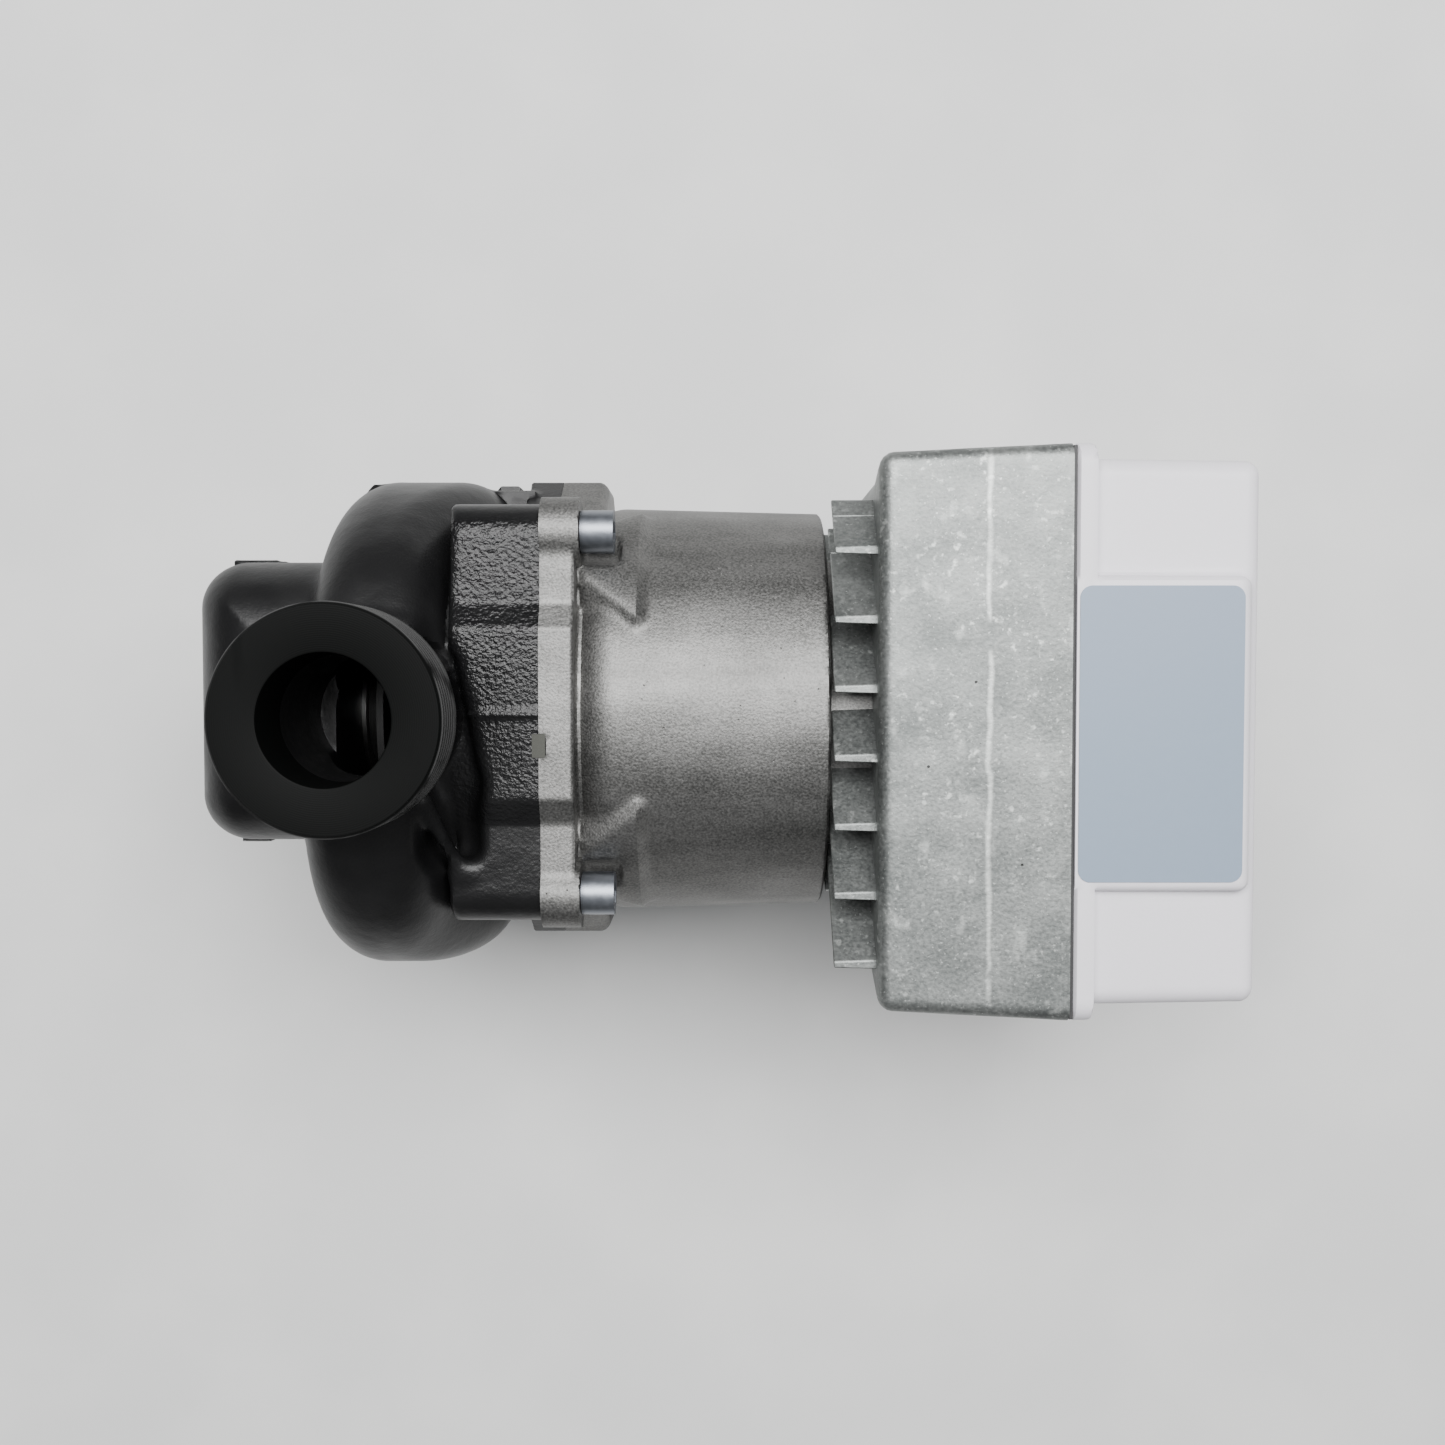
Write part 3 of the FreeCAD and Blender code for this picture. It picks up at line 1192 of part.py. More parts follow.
def cable_entries():
    """The cable gland at one entry, the blanking plug at the other, and their locknuts."""
    wall = "(rim_lip - box_half_height)"
    tip = f"({wall} - gland_length)"
    cap_top = f"{wall} - hex_thick - 2 * seal_grip"
    seat_top = f"{wall} - hex_thick - past"
    thread_top = "locknut_seat + locknut_thick * 2"
    gland = fuse(
        "gland_solid",
        [
            entry_way("gland_thread", "entry_radius", "1", wall, thread_top),
            hexagon("gland_hex", f"{wall} - hex_thick", wall, "1"),
            entry_way("gland_tube", "entry_radius - gland_neck", "1", f"{tip} + entry_radius * 0.8", wall),
        ],
    )
    bores = [
        entry_way("gland_bore", "cable_bore", "1", tip, f"{thread_top} + past"),
        entry_way("gland_seat", "cable_bore + seal_wall + fit_gap", "1", tip, seat_top),
    ]
    finished(cut("gland", gland, bores), "gland_body")
    sleeve_low = f"{tip} + entry_radius * 0.55"
    sleeve = cut(
        "sleeve_ring",
        entry_way("sleeve_outside", "cable_bore + seal_wall", "1", sleeve_low, seat_top),
        [entry_way("sleeve_hole", "cable_bore - seal_grip", "1", tip, wall)],
    )
    finished(sleeve, "gland_seal")
    room = ("gland_cap_room", "entry_radius - gland_neck + fit_gap", "1")
    nut = cut(
        "gland_cap",
        hexagon("cap_hex", tip, cap_top, "1"),
        [
            entry_way("cap_bore", "cable_bore", "1", f"{tip} - past", wall),
            entry_way(*room, f"{sleeve_low} - fit_gap", wall),
        ],
    )
    finished(nut, "gland_nut")
    plug = fuse(
        "plug_solid",
        [
            entry_way("plug_thread", "entry_radius", "-1", wall, "locknut_seat + locknut_thick + past"),
            hexagon("plug_hex", f"{wall} - plug_hex_thick", wall, "-1"),
        ],
    )
    finished(plug, "blanking_plug")
    rings = []
    for side, sign in (("gland", "1"), ("plug", "-1")):
        top = "locknut_seat + locknut_thick"
        disc = entry_way(f"{side}_ring", "entry_radius + locknut_wall", sign, "locknut_seat", top)
        way = ("locknut_seat - past", f"{top} + past")
        hole = entry_way(f"{side}_ring_hole", "entry_radius + fit_gap", sign, *way)
        rings.append(cut(f"{side}_locknut", disc, [hole]))
    finished(group("locknut_set", rings), "entry_locknuts")


# ---------------------------------------------------------------- building and writing

pump_housing()
drain_plug()
wet_end()
rotor()
stator()
motor_housing()
winding_connector()
motor_screws()
heat_sink()
box_gasket()
cover()
cover_label()
cover_screws()
electronics()
sink_screws()
cable_entries()
doc.recompute()

for item in doc.Objects:
    if "Invalid" in item.State or "Error" in item.State:
        raise RuntimeError(f"{item.Name} did not build: {item.State}")
for item in SUBPARTS:
    if item.Shape.isNull() or not item.Shape.isValid():
        raise RuntimeError(f"{item.Label} has no valid shape")
for item in SUBPARTS:
    item.Shape.exportStep(f"parts/{item.Label}.step")
    print(f"{item.Label:24s} {len(item.Shape.Solids):3d} solids {item.Shape.Volume:12.1f} mm3")
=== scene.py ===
import json
import math

import bpy
import numpy as np
from mathutils import Matrix, Vector


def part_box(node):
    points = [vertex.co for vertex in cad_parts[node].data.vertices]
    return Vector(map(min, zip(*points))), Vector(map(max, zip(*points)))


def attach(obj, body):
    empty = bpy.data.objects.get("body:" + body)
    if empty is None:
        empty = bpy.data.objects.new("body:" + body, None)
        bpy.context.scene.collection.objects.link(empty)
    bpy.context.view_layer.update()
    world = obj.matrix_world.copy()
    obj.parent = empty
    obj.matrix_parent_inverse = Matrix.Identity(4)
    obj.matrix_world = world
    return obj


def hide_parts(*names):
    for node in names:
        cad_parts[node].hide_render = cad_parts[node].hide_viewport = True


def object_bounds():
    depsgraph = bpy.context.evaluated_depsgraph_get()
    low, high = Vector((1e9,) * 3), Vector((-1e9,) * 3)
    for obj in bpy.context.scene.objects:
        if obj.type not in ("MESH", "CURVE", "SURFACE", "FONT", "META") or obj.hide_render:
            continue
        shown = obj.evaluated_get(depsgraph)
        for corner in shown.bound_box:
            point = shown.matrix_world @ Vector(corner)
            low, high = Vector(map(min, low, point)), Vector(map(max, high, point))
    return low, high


# A wet rotor circulating pump: black iron volute, aluminium motor barrel, square electronics box.
# Shapes are worked out in millimetres about the point where the pipe axis meets the motor axis:
# x runs along the motor, y to the side, z up the pipe. mesh_piece turns them into the frame's metres.

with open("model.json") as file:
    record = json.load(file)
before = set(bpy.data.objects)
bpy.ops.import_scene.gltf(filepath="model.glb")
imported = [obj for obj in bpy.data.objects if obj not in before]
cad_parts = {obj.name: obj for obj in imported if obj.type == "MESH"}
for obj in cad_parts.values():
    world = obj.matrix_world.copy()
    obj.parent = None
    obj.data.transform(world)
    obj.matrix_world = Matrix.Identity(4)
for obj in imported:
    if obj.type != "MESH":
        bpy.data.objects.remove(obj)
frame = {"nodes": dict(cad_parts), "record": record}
cad_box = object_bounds()
MM = 0.001
AXIS = 90.0

# ---------------------------------------------------------------- meshes


def mesh_piece(name, points, faces, material, crease=35.0):
    """A mesh from points in millimetres about the motor axis, smooth except where faces meet sharply."""
    mesh = bpy.data.meshes.new(name)
    place = (np.asarray(points, float) + (0.0, 0.0, AXIS)) * MM
    faces = np.asarray(faces, np.int32)
    corners = faces.shape[1]
    mesh.vertices.add(len(place))
    mesh.vertices.foreach_set("co", place.astype(np.float32).ravel())
    mesh.loops.add(faces.size)
    mesh.loops.foreach_set("vertex_index", faces.ravel())
    mesh.polygons.add(len(faces))
    mesh.polygons.foreach_set("loop_start", np.arange(0, faces.size, corners, dtype=np.int32))
    mesh.update(calc_edges=True)
    mesh.validate()
    mesh.shade_smooth()
    mesh.set_sharp_from_angle(angle=math.radians(crease))
    mesh.materials.append(material)
    piece = bpy.data.objects.new(name, mesh)
    bpy.context.scene.collection.objects.link(piece)
    return piece


def grid_faces(rows, columns, wrap_rows=False, wrap_columns=False):
    """Four-cornered faces of a grid of rows x columns points, joined end to end where asked."""
    index = np.arange(rows * columns).reshape(rows, columns)
    if wrap_rows:
        index = np.vstack([index, index[:1]])
    if wrap_columns:
        index = np.hstack([index, index[:, :1]])
    return np.stack([index[:-1, :-1], index[1:, :-1], index[1:, 1:], index[:-1, 1:]], -1).reshape(-1, 4)


# ---------------------------------------------------------------- fields: how far a point is outside a shape


def span(value, low, high, soft=0.0):
    """Distance past the ends of low..high, shrunk by soft."""
    return np.abs(value - (low + high) / 2) - (high - low) / 2 + soft


def corner(first, second, soft):
    """Two distances that meet in a corner rounded by soft."""
    outside = np.hypot(np.maximum(first, 0), np.maximum(second, 0))
    return outside + np.minimum(np.maximum(first, second), 0) - soft


def block(p, x, y, z, soft=0.01):
    """A box between three pairs of limits, its edges rounded by soft."""
    a, b, c = span(p[0], *x, soft), span(p[1], *y, soft), span(p[2], *z, soft)
    outside = np.sqrt(np.maximum(a, 0) ** 2 + np.maximum(b, 0) ** 2 + np.maximum(c, 0) ** 2)
    return outside + np.minimum(np.maximum(np.maximum(a, b), c), 0) - soft


def rod(p, radius, x, y=0.0, z=0.0, soft=0.01):
    """A cylinder along the motor."""
    return corner(np.hypot(p[1] - y, p[2] - z) - radius + soft, span(p[0], *x, soft), soft)


def pipe(p, radius, z, x=0.0, y=0.0, soft=0.01):
    """A cylinder along the pipe."""
    return corner(np.hypot(p[0] - x, p[1] - y) - radius + soft, span(p[2], *z, soft), soft)


def capsule(p, start, end, radius):
    """A round bar with ball ends between two points."""
    a, b = np.array(start, float), np.array(end, float)
    along = b - a
    d = [p[n] - a[n] for n in range(3)]
    share = np.clip((d[0] * along[0] + d[1] * along[1] + d[2] * along[2]) / (along @ along), 0, 1)
    return np.sqrt(sum((d[n] - share * along[n]) ** 2 for n in range(3))) - radius


def join(first, second, soft):
    """Union with a fillet: the smaller distance, eased over a width of soft."""
    ease = np.clip(soft - np.abs(first - second), 0, None) / soft
    return np.minimum(first, second) - ease * ease * soft / 4


def carve(first, second, soft):
    """The first shape without the second, with its new edges rounded."""
    return -join(-first, second, soft)


STIFFNESS = 0.04
STRAY = 0.9
PROBE = 0.05


def casting(name, field, low, high, step, material, crease=35.0):
    """Skin the solid where field is negative.

    The field is sampled on a grid. Each grid edge that it crosses gives a point and a normal, and each cell
    gets the corner where the planes of its edges meet (least squares), so faces stay flat and edges crisp.
    STIFFNESS draws that corner towards the mean of the points where the planes are nearly parallel.
    """
    low, high = np.array(low, float), np.array(high, float)
    count = np.ceil((high - low) / step).astype(int) + 1
    axes = [low[n] + step * np.arange(count[n]) for n in range(3)]
    grid = np.meshgrid(*axes, indexing="ij", sparse=True)
    value = np.broadcast_to(field(grid), count)
    inside = value < 0
    cell_of = []
    crossing = []
    heading = []
    for axis in range(3):
        near = [slice(None)] * 3
        far = [slice(None)] * 3
        near[axis] = slice(0, -1)
        far[axis] = slice(1, None)
        start, end = inside[tuple(near)], inside[tuple(far)]
        at = np.argwhere(start != end)
        others = [n for n in range(3) if n != axis]
        at = at[((at[:, others] > 0) & (at[:, others] < count[others] - 1)).all(1)]
        begin = value[tuple(near)][tuple(at.T)]
        finish = value[tuple(far)][tuple(at.T)]
        place = low + at * step
        place[:, axis] += step * begin / (begin - finish)
        crossing.append(place)
        heading.append(np.where(begin < 0, 1, -1) * (1 if axis != 1 else -1))
        u, v = others
        cells = []
        for du, dv in ((1, 1), (0, 1), (0, 0), (1, 0)):
            cell = at.copy()
            cell[:, u] -= du
            cell[:, v] -= dv
            cells.append(np.ravel_multi_index(cell.T, count))
        cell_of.append(np.stack(cells, 1))
    cell_of, crossing, heading = np.vstack(cell_of), np.vstack(crossing), np.concatenate(heading)
    crossing, normal = settle(field, crossing, step)
    keys, vertex = np.unique(cell_of, return_inverse=True)
    vertex = vertex.reshape(cell_of.shape)
    who = vertex.ravel()
    n4 = np.repeat(normal, 4, axis=0)
    p4 = np.repeat(crossing, 4, axis=0)
    total = np.bincount(who, minlength=len(keys)).astype(float)
    middle = np.stack([np.bincount(who, p4[:, n], len(keys)) for n in range(3)], 1) / total[:, None]
    rest = p4 - middle[who]
    flat = (n4 * rest).sum(1)
    matrix = np.zeros((len(keys), 3, 3))
    right = np.zeros((len(keys), 3))
    for a in range(3):
        right[:, a] = np.bincount(who, n4[:, a] * flat, len(keys))
        for b in range(3):
            matrix[:, a, b] = np.bincount(who, n4[:, a] * n4[:, b], len(keys))
    matrix += np.eye(3) * (STIFFNESS * total)[:, None, None]
    shift = np.linalg.solve(matrix, right[:, :, None])[:, :, 0]
    length = np.linalg.norm(shift, axis=1)
    shift *= np.minimum(1, STRAY * step / np.maximum(length, 1e-9))[:, None]
    turned = heading < 0
    vertex[turned] = vertex[turned][:, ::-1]
    return mesh_piece(name, middle + shift, vertex, material, crease)


def settle(field, place, step):
    """Move points onto the surface along its normal, and give the normals there."""
    for _ in range(2):
        value = field(place.T)
        normal = gradient(field, place, step * PROBE)
        place = place - normal * np.clip(value, -step, step)[:, None] * 0.9
    return place, gradient(field, place, step * PROBE)


def gradient(field, place, small):
    """Unit normals of a field by central differences."""
    columns = []
    for n in range(3):
        reach = np.zeros(3)
        reach[n] = small
        columns.append(field((place + reach).T) - field((place - reach).T))
    normal = np.stack(columns, 1)
    return normal / np.maximum(np.linalg.norm(normal, axis=1), 1e-9)[:, None]


def taper(p, radius, z, soft=0.01):
    """A cone frustum about the pipe; radius and z are pairs for its lower and upper end."""
    lean = (radius[1] - radius[0]) / (z[1] - z[0])
    side = np.hypot(p[0], p[1]) - radius[0] - lean * (p[2] - z[0])
    return corner(side / math.hypot(1, lean) + soft, span(p[2], *z, soft), soft)


# ---------------------------------------------------------------- the iron pump housing

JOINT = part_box("motor_housing")[0].x / MM
LEFT_END = cad_box[0][0] / MM
PORT = 90.0
THREAD = 15.0
PORT_RADIUS = 23.9
PORT_BORE = 13.5
NECK = 19.5
# The volute's four quarter rounds, from its right side by way of the bottom to its throat.
RIGHT_ROUND, BOTTOM_ROUND, LEFT_ROUND, THROAT_ROUND = 58.4, 52.0, 68.7, 45.0
BOTTOM_Y, LEFT_Z, THROAT_Y = 6.4, 16.7, -17.3
VOLUTE_X = (-16.0, 27.0)
OUTLET_BACK = 16.0
VOLUTE_ROUND = 14.0
WALL = 6.0
CHAMBER = 44.0
SUCTION = 32.0
SUCTION_BORE = 12.0
SUCTION_OUTSIDE = 18.0
ELBOW = 17.5 - PORT
BLOCK_LENGTH = 21.0
FLANGE = 48.5
FLANGE_ROUND = 8.0
PAD = 51.5
PAD_HALF = 21.0
EAR = 59.4
EAR_SPAN = (-20.0, -4.0)
SCREW = 42.0
SCREW_HOLE = 3.05
PLATE_SEAT = 46.8
# Cast lugs, and the web behind the flange: limits along x, y and z, then how soft the edges are.
LUGS = (
    ((-45.5, -34.0), (34.0, 38.2), (1.0, 7.0), 0.6),
    ((-36.5, -30.5), (33.0, 37.6), (3.0, 10.0), 0.6),
    ((-45.0, -37.5), (-34.4, -30.0), (-5.0, 5.0), 0.8),
    ((-19.0, -12.0), (-52.0, -42.0), (-5.0, 5.0), 1.0),
    ((10.0, 32.0), (40.0, 56.4), (-14.0, 4.0), 1.0),
    ((21.5, 27.0), (50.0, 58.0), (-8.0, 0.0), 0.8),
)
SEAL_SEAT_DEPTH = 2.6
EYE = 19.0


def spiral(y, z):
    """The volute's outline: quarter rounds that meet smoothly, each about its own centre."""
    outer = np.hypot(y, z) - RIGHT_ROUND
    lower = np.hypot(y - BOTTOM_Y, z) - BOTTOM_ROUND
    growing = np.hypot(y - BOTTOM_Y, z - LEFT_Z) - LEFT_ROUND
    closing = np.hypot(y - THROAT_Y, z - LEFT_Z) - THROAT_ROUND
    return np.where(y > BOTTOM_Y, np.where(z > 0, outer, lower), np.where(z < LEFT_Z, growing, closing))


def flange_outline(y, z):
    """Square with rounded corners, a raised middle above and below, and an ear on each side."""
    side = np.abs(y)
    square = corner(side - FLANGE + FLANGE_ROUND, np.abs(z) - FLANGE + FLANGE_ROUND, FLANGE_ROUND)
    pad = np.maximum(np.abs(z) - PAD, (0.5 * side + np.abs(z) - 0.5 * PAD_HALF - PAD + 0.8) / math.hypot(0.5, 1))
    pad = np.maximum(pad, side - PAD_HALF - 5.0)
    upper = ((side - EAR) * 18.0 + (z - EAR_SPAN[1]) * 11.5) / math.hypot(18.0, 11.5)
    lower = ((side - EAR) * 16.2 - (z - EAR_SPAN[0]) * 11.5) / math.hypot(16.2, 11.5)
    ear = np.maximum(np.maximum(upper, lower), np.maximum(side - EAR, 30.0 - side))
    return np.minimum(square, pad), ear


def volute_reach(x, z):
    """Distance past the volute's two sides: it is widest low down and narrows towards its outlet."""
    lift = np.clip((z - 4.0) / 36.0, 0, 1)
    back = VOLUTE_X[1] - (VOLUTE_X[1] - OUTLET_BACK) * lift * lift * (3 - 2 * lift)
    return np.abs(x - (back + VOLUTE_X[0]) / 2) - (back - VOLUTE_X[0]) / 2


def plug_slot(p):
    """The notch across the joint that the small plug fills, open at the top."""
    low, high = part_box("drain_slot_plug")
    x, y = (low.x / MM, high.x / MM), (low.y / MM, high.y / MM)
    return block(p, x, y, (low.z / MM - AXIS, high.z / MM - AXIS + 4), 0.2)


def iron_outside(p):
    """Volute, outlet throat, suction chamber, necks and flange block, run together with fillets."""
    x, y, z = p
    volute = corner(spiral(y, z) + VOLUTE_ROUND, volute_reach(x, z) + VOLUTE_ROUND, VOLUTE_ROUND)
    throat = block(p, (VOLUTE_X[0], 15.5), (-30.0, 17.0), (0.0, 61.7), 12.0)
    body = join(volute, throat, 5.0)
    outline = corner(span(x, -50.0, 0.0, 12.0), span(y, -32.6, 37.0, 12.0), 12.0)
    chest = corner(outline + 20.0, span(z, -30.0, 34.0, 20.0), 20.0)
    body = join(body, chest, 5.0)
    neck = join(pipe(p, NECK, (0.0, PORT - THREAD + 1)), taper(p, (22.5, NECK), (42.0, 66.0)), 3.0)
    body = join(body, neck, 4.0)
    lean = capsule(p, (0, 0, ELBOW), (-SUCTION, 0, ELBOW + SUCTION), SUCTION_OUTSIDE)
    rise = capsule(p, (-SUCTION, 0, ELBOW + SUCTION), (-SUCTION, 0, 0), SUCTION_OUTSIDE)
    foot = pipe(p, NECK, (-PORT + THREAD - 1, ELBOW + 4))
    body = join(join(body, join(lean, rise, 4.0), 6.0), foot, 4.0)
    square, ear = flange_outline(y, z)
    plate = corner(square + 1.6, span(x, JOINT - BLOCK_LENGTH, JOINT + 4, 1.6), 1.6)
    lobe = corner(ear + 1.0, span(x, JOINT - 8.5, JOINT + 4, 1.0), 1.0)
    slab = join(plate, lobe, 1.0)
    body = join(body, slab, 1.6)
    # A scoop between the volute and the flange block, deeper than it is wide.
    q = (x, y, 50.0 + (z - 50.0) * 0.5)
    deep = capsule(q, (13.0, 10.0, 53.0), (18.4, -16.0, 53.0), 7.2)
    scoop = join(deep, capsule(q, (18.4, -16.0, 53.0), (18.2, -30.0, 51.5), 6.6), 2.0)
    scoop = join(scoop, capsule(q, (15.0, 45.0, 50.0), (15.0, 10.0, 53.0), 2.6), 2.0)
    body = carve(body, np.maximum(scoop, PORT_RADIUS - 4.0 - np.hypot(x, y)), 2.6)
    crest = capsule(p, (13.4, -19.0, 56.5), (16.4, -28.0, 52.0), 1.5)
    crest = np.minimum(crest, capsule(p, (16.4, -28.0, 52.0), (19.6, -35.5, 47.0), 1.3))
    body = join(body, crest, 5.0)
    # A collar closes the pump chamber where the volute has drawn back from the flange block.
    body = join(body, rod(p, CHAMBER + 3.5, (4.0, JOINT + 3)), 1.6)
    lugs = block(p, (22.0, JOINT + 1), (-0.5, 0.5), (PAD - 1, PAD + 0.35), 0.3)
    for x_span, y_span, z_span, soft in LUGS:
        lugs = np.minimum(lugs, block(p, x_span, y_span, z_span, soft))
    slanted = np.maximum(block(p, (-14.0, -1.0), (38.0, 57.4), (-8.0, 8.0), 0.8), (y - x - 66.5) / math.sqrt(2))
    body = join(body, np.minimum(lugs, slanted), 0.8)
    return np.maximum(body, np.maximum(x - JOINT, LEFT_END - x))


def iron_field(p):
    """The casting less its water ways, its chamber, the seal's seat and the screw holes."""
    x, y, z = p
    inner_round = VOLUTE_ROUND - WALL
    room = corner(spiral(y, z) + WALL + inner_round, volute_reach(x, z) + WALL + inner_round, inner_round)
    room = np.minimum(room, rod(p, CHAMBER, (0.0, JOINT + 3)))
    room = np.minimum(room, rod(p, PLATE_SEAT, (JOINT - SEAL_SEAT_DEPTH, JOINT + 3)))
    room = np.minimum(room, rod(p, EYE, (VOLUTE_X[0] - WALL, 0.0)))
    room = np.minimum(room, block(p, (-44.0, -17.5), (-26.6, 31.0), (-24.0, 28.0), 6.0))
    room = np.minimum(room, pipe(p, PORT_BORE, (43.0, PORT + 3)))
    room = np.minimum(room, pipe(p, PORT_BORE, (-PORT - 3, ELBOW)))
    room = np.minimum(room, capsule(p, (0, 0, ELBOW), (0, 0, ELBOW + 0.1), PORT_BORE))
    room = np.minimum(room, capsule(p, (0, 0, ELBOW), (-SUCTION, 0, ELBOW + SUCTION), SUCTION_BORE))
    room = np.minimum(room, capsule(p, (-SUCTION, 0, ELBOW + SUCTION), (-SUCTION, 0, 0), SUCTION_BORE))
    for side in (-1, 1):
        for rise in (-1, 1):
            room = np.minimum(room, rod(p, SCREW_HOLE, (JOINT - 17, JOINT + 3), side * SCREW, rise * SCREW))
    return carve(iron_outside(p), np.minimum(room, plug_slot(p)), 0.5)


def union_port(name, up, material):
    """A threaded union port as a closed surface of revolution with a helical thread.

    The profile runs up the outside, over the sealing face and down the bore. On the threaded stretch the
    radius dips by a rounded V that advances one pitch for each turn and fades out at both ends.
    """
    pitch, depth, turns = 2.309, 1.3, 240
    rows_on_thread = 150
    height = np.linspace(0, THREAD, rows_on_thread)
    angle = np.linspace(0, 2 * math.pi, turns, endpoint=False)
    phase = height[:, None] / pitch - angle[None, :] / (2 * math.pi)
    wave = np.abs((phase % 1.0) - 0.5) * 2
    groove = np.clip(wave * 1.35 - 0.18, 0, 1)
    groove = groove * groove * (3 - 2 * groove)
    fade = np.clip((height - 1.6) / 1.5, 0, 1) * np.clip((THREAD - 0.9 - height) / 0.9, 0, 1)
    radius = PORT_RADIUS - depth * (1 - groove) * fade[:, None]
    radius -= np.clip(height - THREAD + 0.8, 0, 1)[:, None] * 0.9
    tops = [(PORT_RADIUS - 1.2, THREAD), (PORT_BORE + 0.7, THREAD), (PORT_BORE + 0.2, THREAD - 0.15)]
    tops += [(PORT_BORE - 0.02, THREAD - 0.7), (PORT_BORE - 0.02, -1.0), (NECK - 1, -1.0), (NECK - 1, -0.2)]
    ring_radius = np.array([r for r, _ in tops])[:, None] * np.ones((1, turns))
    ring_height = np.array([h for _, h in tops])[:, None] * np.ones((1, turns))
    r = np.vstack([radius, ring_radius])
    h = np.vstack([height[:, None] * np.ones((1, turns)), ring_height])
    points = np.stack([r * np.cos(angle), r * np.sin(angle) * up, (PORT - THREAD + h) * up], -1)
    faces = grid_faces(len(r), turns, wrap_rows=True, wrap_columns=True)[:, ::-1]
    return mesh_piece(name, points.reshape(-1, 3), faces, material, 32.0)


# ---------------------------------------------------------------- the motor barrel

BARREL_END = 104.5
BARREL = 51.6
FLANGE_BACK = 47.0
SADDLE = 53.9
SADDLE_END = 62.5
BARREL_BORE = 46.5
TAIL = 37.0
TAIL_BORE = 32.0
RIM_SEAT = 47.55
MOTOR_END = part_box("motor_housing")[1].x / MM


def barrel_radius_at(x):
    """Drafted barrel, and a shallow valley behind the flange that rises to it as a square curve."""
    rise = np.clip((x - FLANGE_BACK - 0.2) / 8.0, 0, 1)
    return BARREL - 3.3 * (1 - rise) ** 2 - 1.2 * np.clip((x - 56) / 48, 0, 1)


def motor_outside(p):
    """Flange with ears, barrel, and a saddle behind each screw with a pocket for its head."""
    x, y, z = p
    away = np.hypot(y, z)
    barrel = corner(away - barrel_radius_at(x) + 1.2, span(x, JOINT, BARREL_END, 1.2), 1.2)
    square, ear = flange_outline(y, z)
    plate = corner(square + 1.0, span(x, JOINT - 4, FLANGE_BACK - 1.1, 1.0), 1.0)
    lobe = corner(ear + 3.0, span(x, JOINT - 12, FLANGE_BACK + 3.0, 3.0), 3.0)
    slab = join(plate, lobe, 1.5)
    body = join(barrel, slab, 1.6)
    body = join(body, rod(p, TAIL, (60.0, MOTOR_END)), 0.6)
    side, rise = np.abs(y), np.abs(z)
    # A saddle opens away from the flange between two ridges, falls off beyond them, and ends square.
    beyond = 32.6 - (x - FLANGE_BACK) * 0.773 - np.minimum(side, rise)
    fall = 0.4 * (beyond * 0.79 + np.sqrt((beyond * 0.79) ** 2 + 1.2))
    fade = 0.9 * np.clip(x - SADDLE_END + 2.5, 0, 12)
    saddle = np.maximum(away - SADDLE + fall + fade, JOINT - x)
    body = join(body, saddle, 0.9)
    boss = rod((x, side, rise), 8.0, (JOINT - 4, FLANGE_BACK), SCREW, SCREW, 0.6)
    body = join(body, boss, 0.8)
    pocket = rod((x, side, rise), 7.4, (FLANGE_BACK, FLANGE_BACK + 9.0), SCREW, SCREW, 1.5)
    body = carve(body, pocket, 0.8)
    return np.maximum(body, JOINT - x)


def motor_field(p):
    """The barrel less its bore, the plate's seat and the screw holes."""
    x, y, z = p
    room = rod(p, BARREL_BORE, (JOINT - 3, BARREL_END - WALL))
    room = np.minimum(room, rod(p, TAIL_BORE, (JOINT, MOTOR_END - WALL)))
    room = np.minimum(room, rod(p, RIM_SEAT, (JOINT - 3, JOINT + 3.0)))
    holes = rod((x, np.abs(y), np.abs(z)), SCREW_HOLE, (JOINT - 3, FLANGE_BACK + 3), SCREW, SCREW)
    return carve(motor_outside(p), np.minimum(np.minimum(room, holes), plug_slot(p)), 0.4)


# ---------------------------------------------------------------- the finned half of the box

BOX_Y = -4.1
NECK_REACH = 37.3
BOX_HALF = (64.2, 60.0)
BOX_DRAFT = 1.8
BOX_ROUND = 3.2
ROOM_Y = (BOX_Y - 58.4, BOX_Y + 58.4)
ROOM_Z = (-54.2, 54.2)
BOX_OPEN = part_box("heat_sink_housing")[1].x / MM
FIN_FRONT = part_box("heat_sink_housing")[0].x / MM
FIN_TALL = 53.0
FIN_OFFSET, FIN_PITCH = 43.1, 15.6
FIN_THICK_FRONT, FIN_THICK_ROOT = 1.0, 1.5
MOULD_LINE = 138.7


def sink_field(p):
    """A drafted box with soft edges, hollow behind."""
    x, y, z = p
    share = (x - MOTOR_END) / (BOX_OPEN - MOTOR_END)
    grow = BOX_DRAFT * (1 - np.clip(share, 0, 1))
    side = np.abs(y - BOX_Y) - BOX_HALF[0] + grow
    tall = np.abs(z) - BOX_HALF[1] + grow
    soft = BOX_ROUND
    outline = corner(side + soft, tall + soft, soft)
    # The upright front corners are rounder at mid height than beside the top and the bottom.
    inward = np.clip((58.0 - np.abs(z)) / 22.0, 0, 1)
    round_front = soft + 6.0 * inward * inward * (3 - 2 * inward)
    case = corner(outline + round_front, MOTOR_END - x + round_front, round_front)
    case = np.maximum(case, x - BOX_OPEN)
    room = block(p, (MOTOR_END + 5, BOX_OPEN + 4), ROOM_Y, ROOM_Z, 8.0)
    return carve(case, room, 0.5)


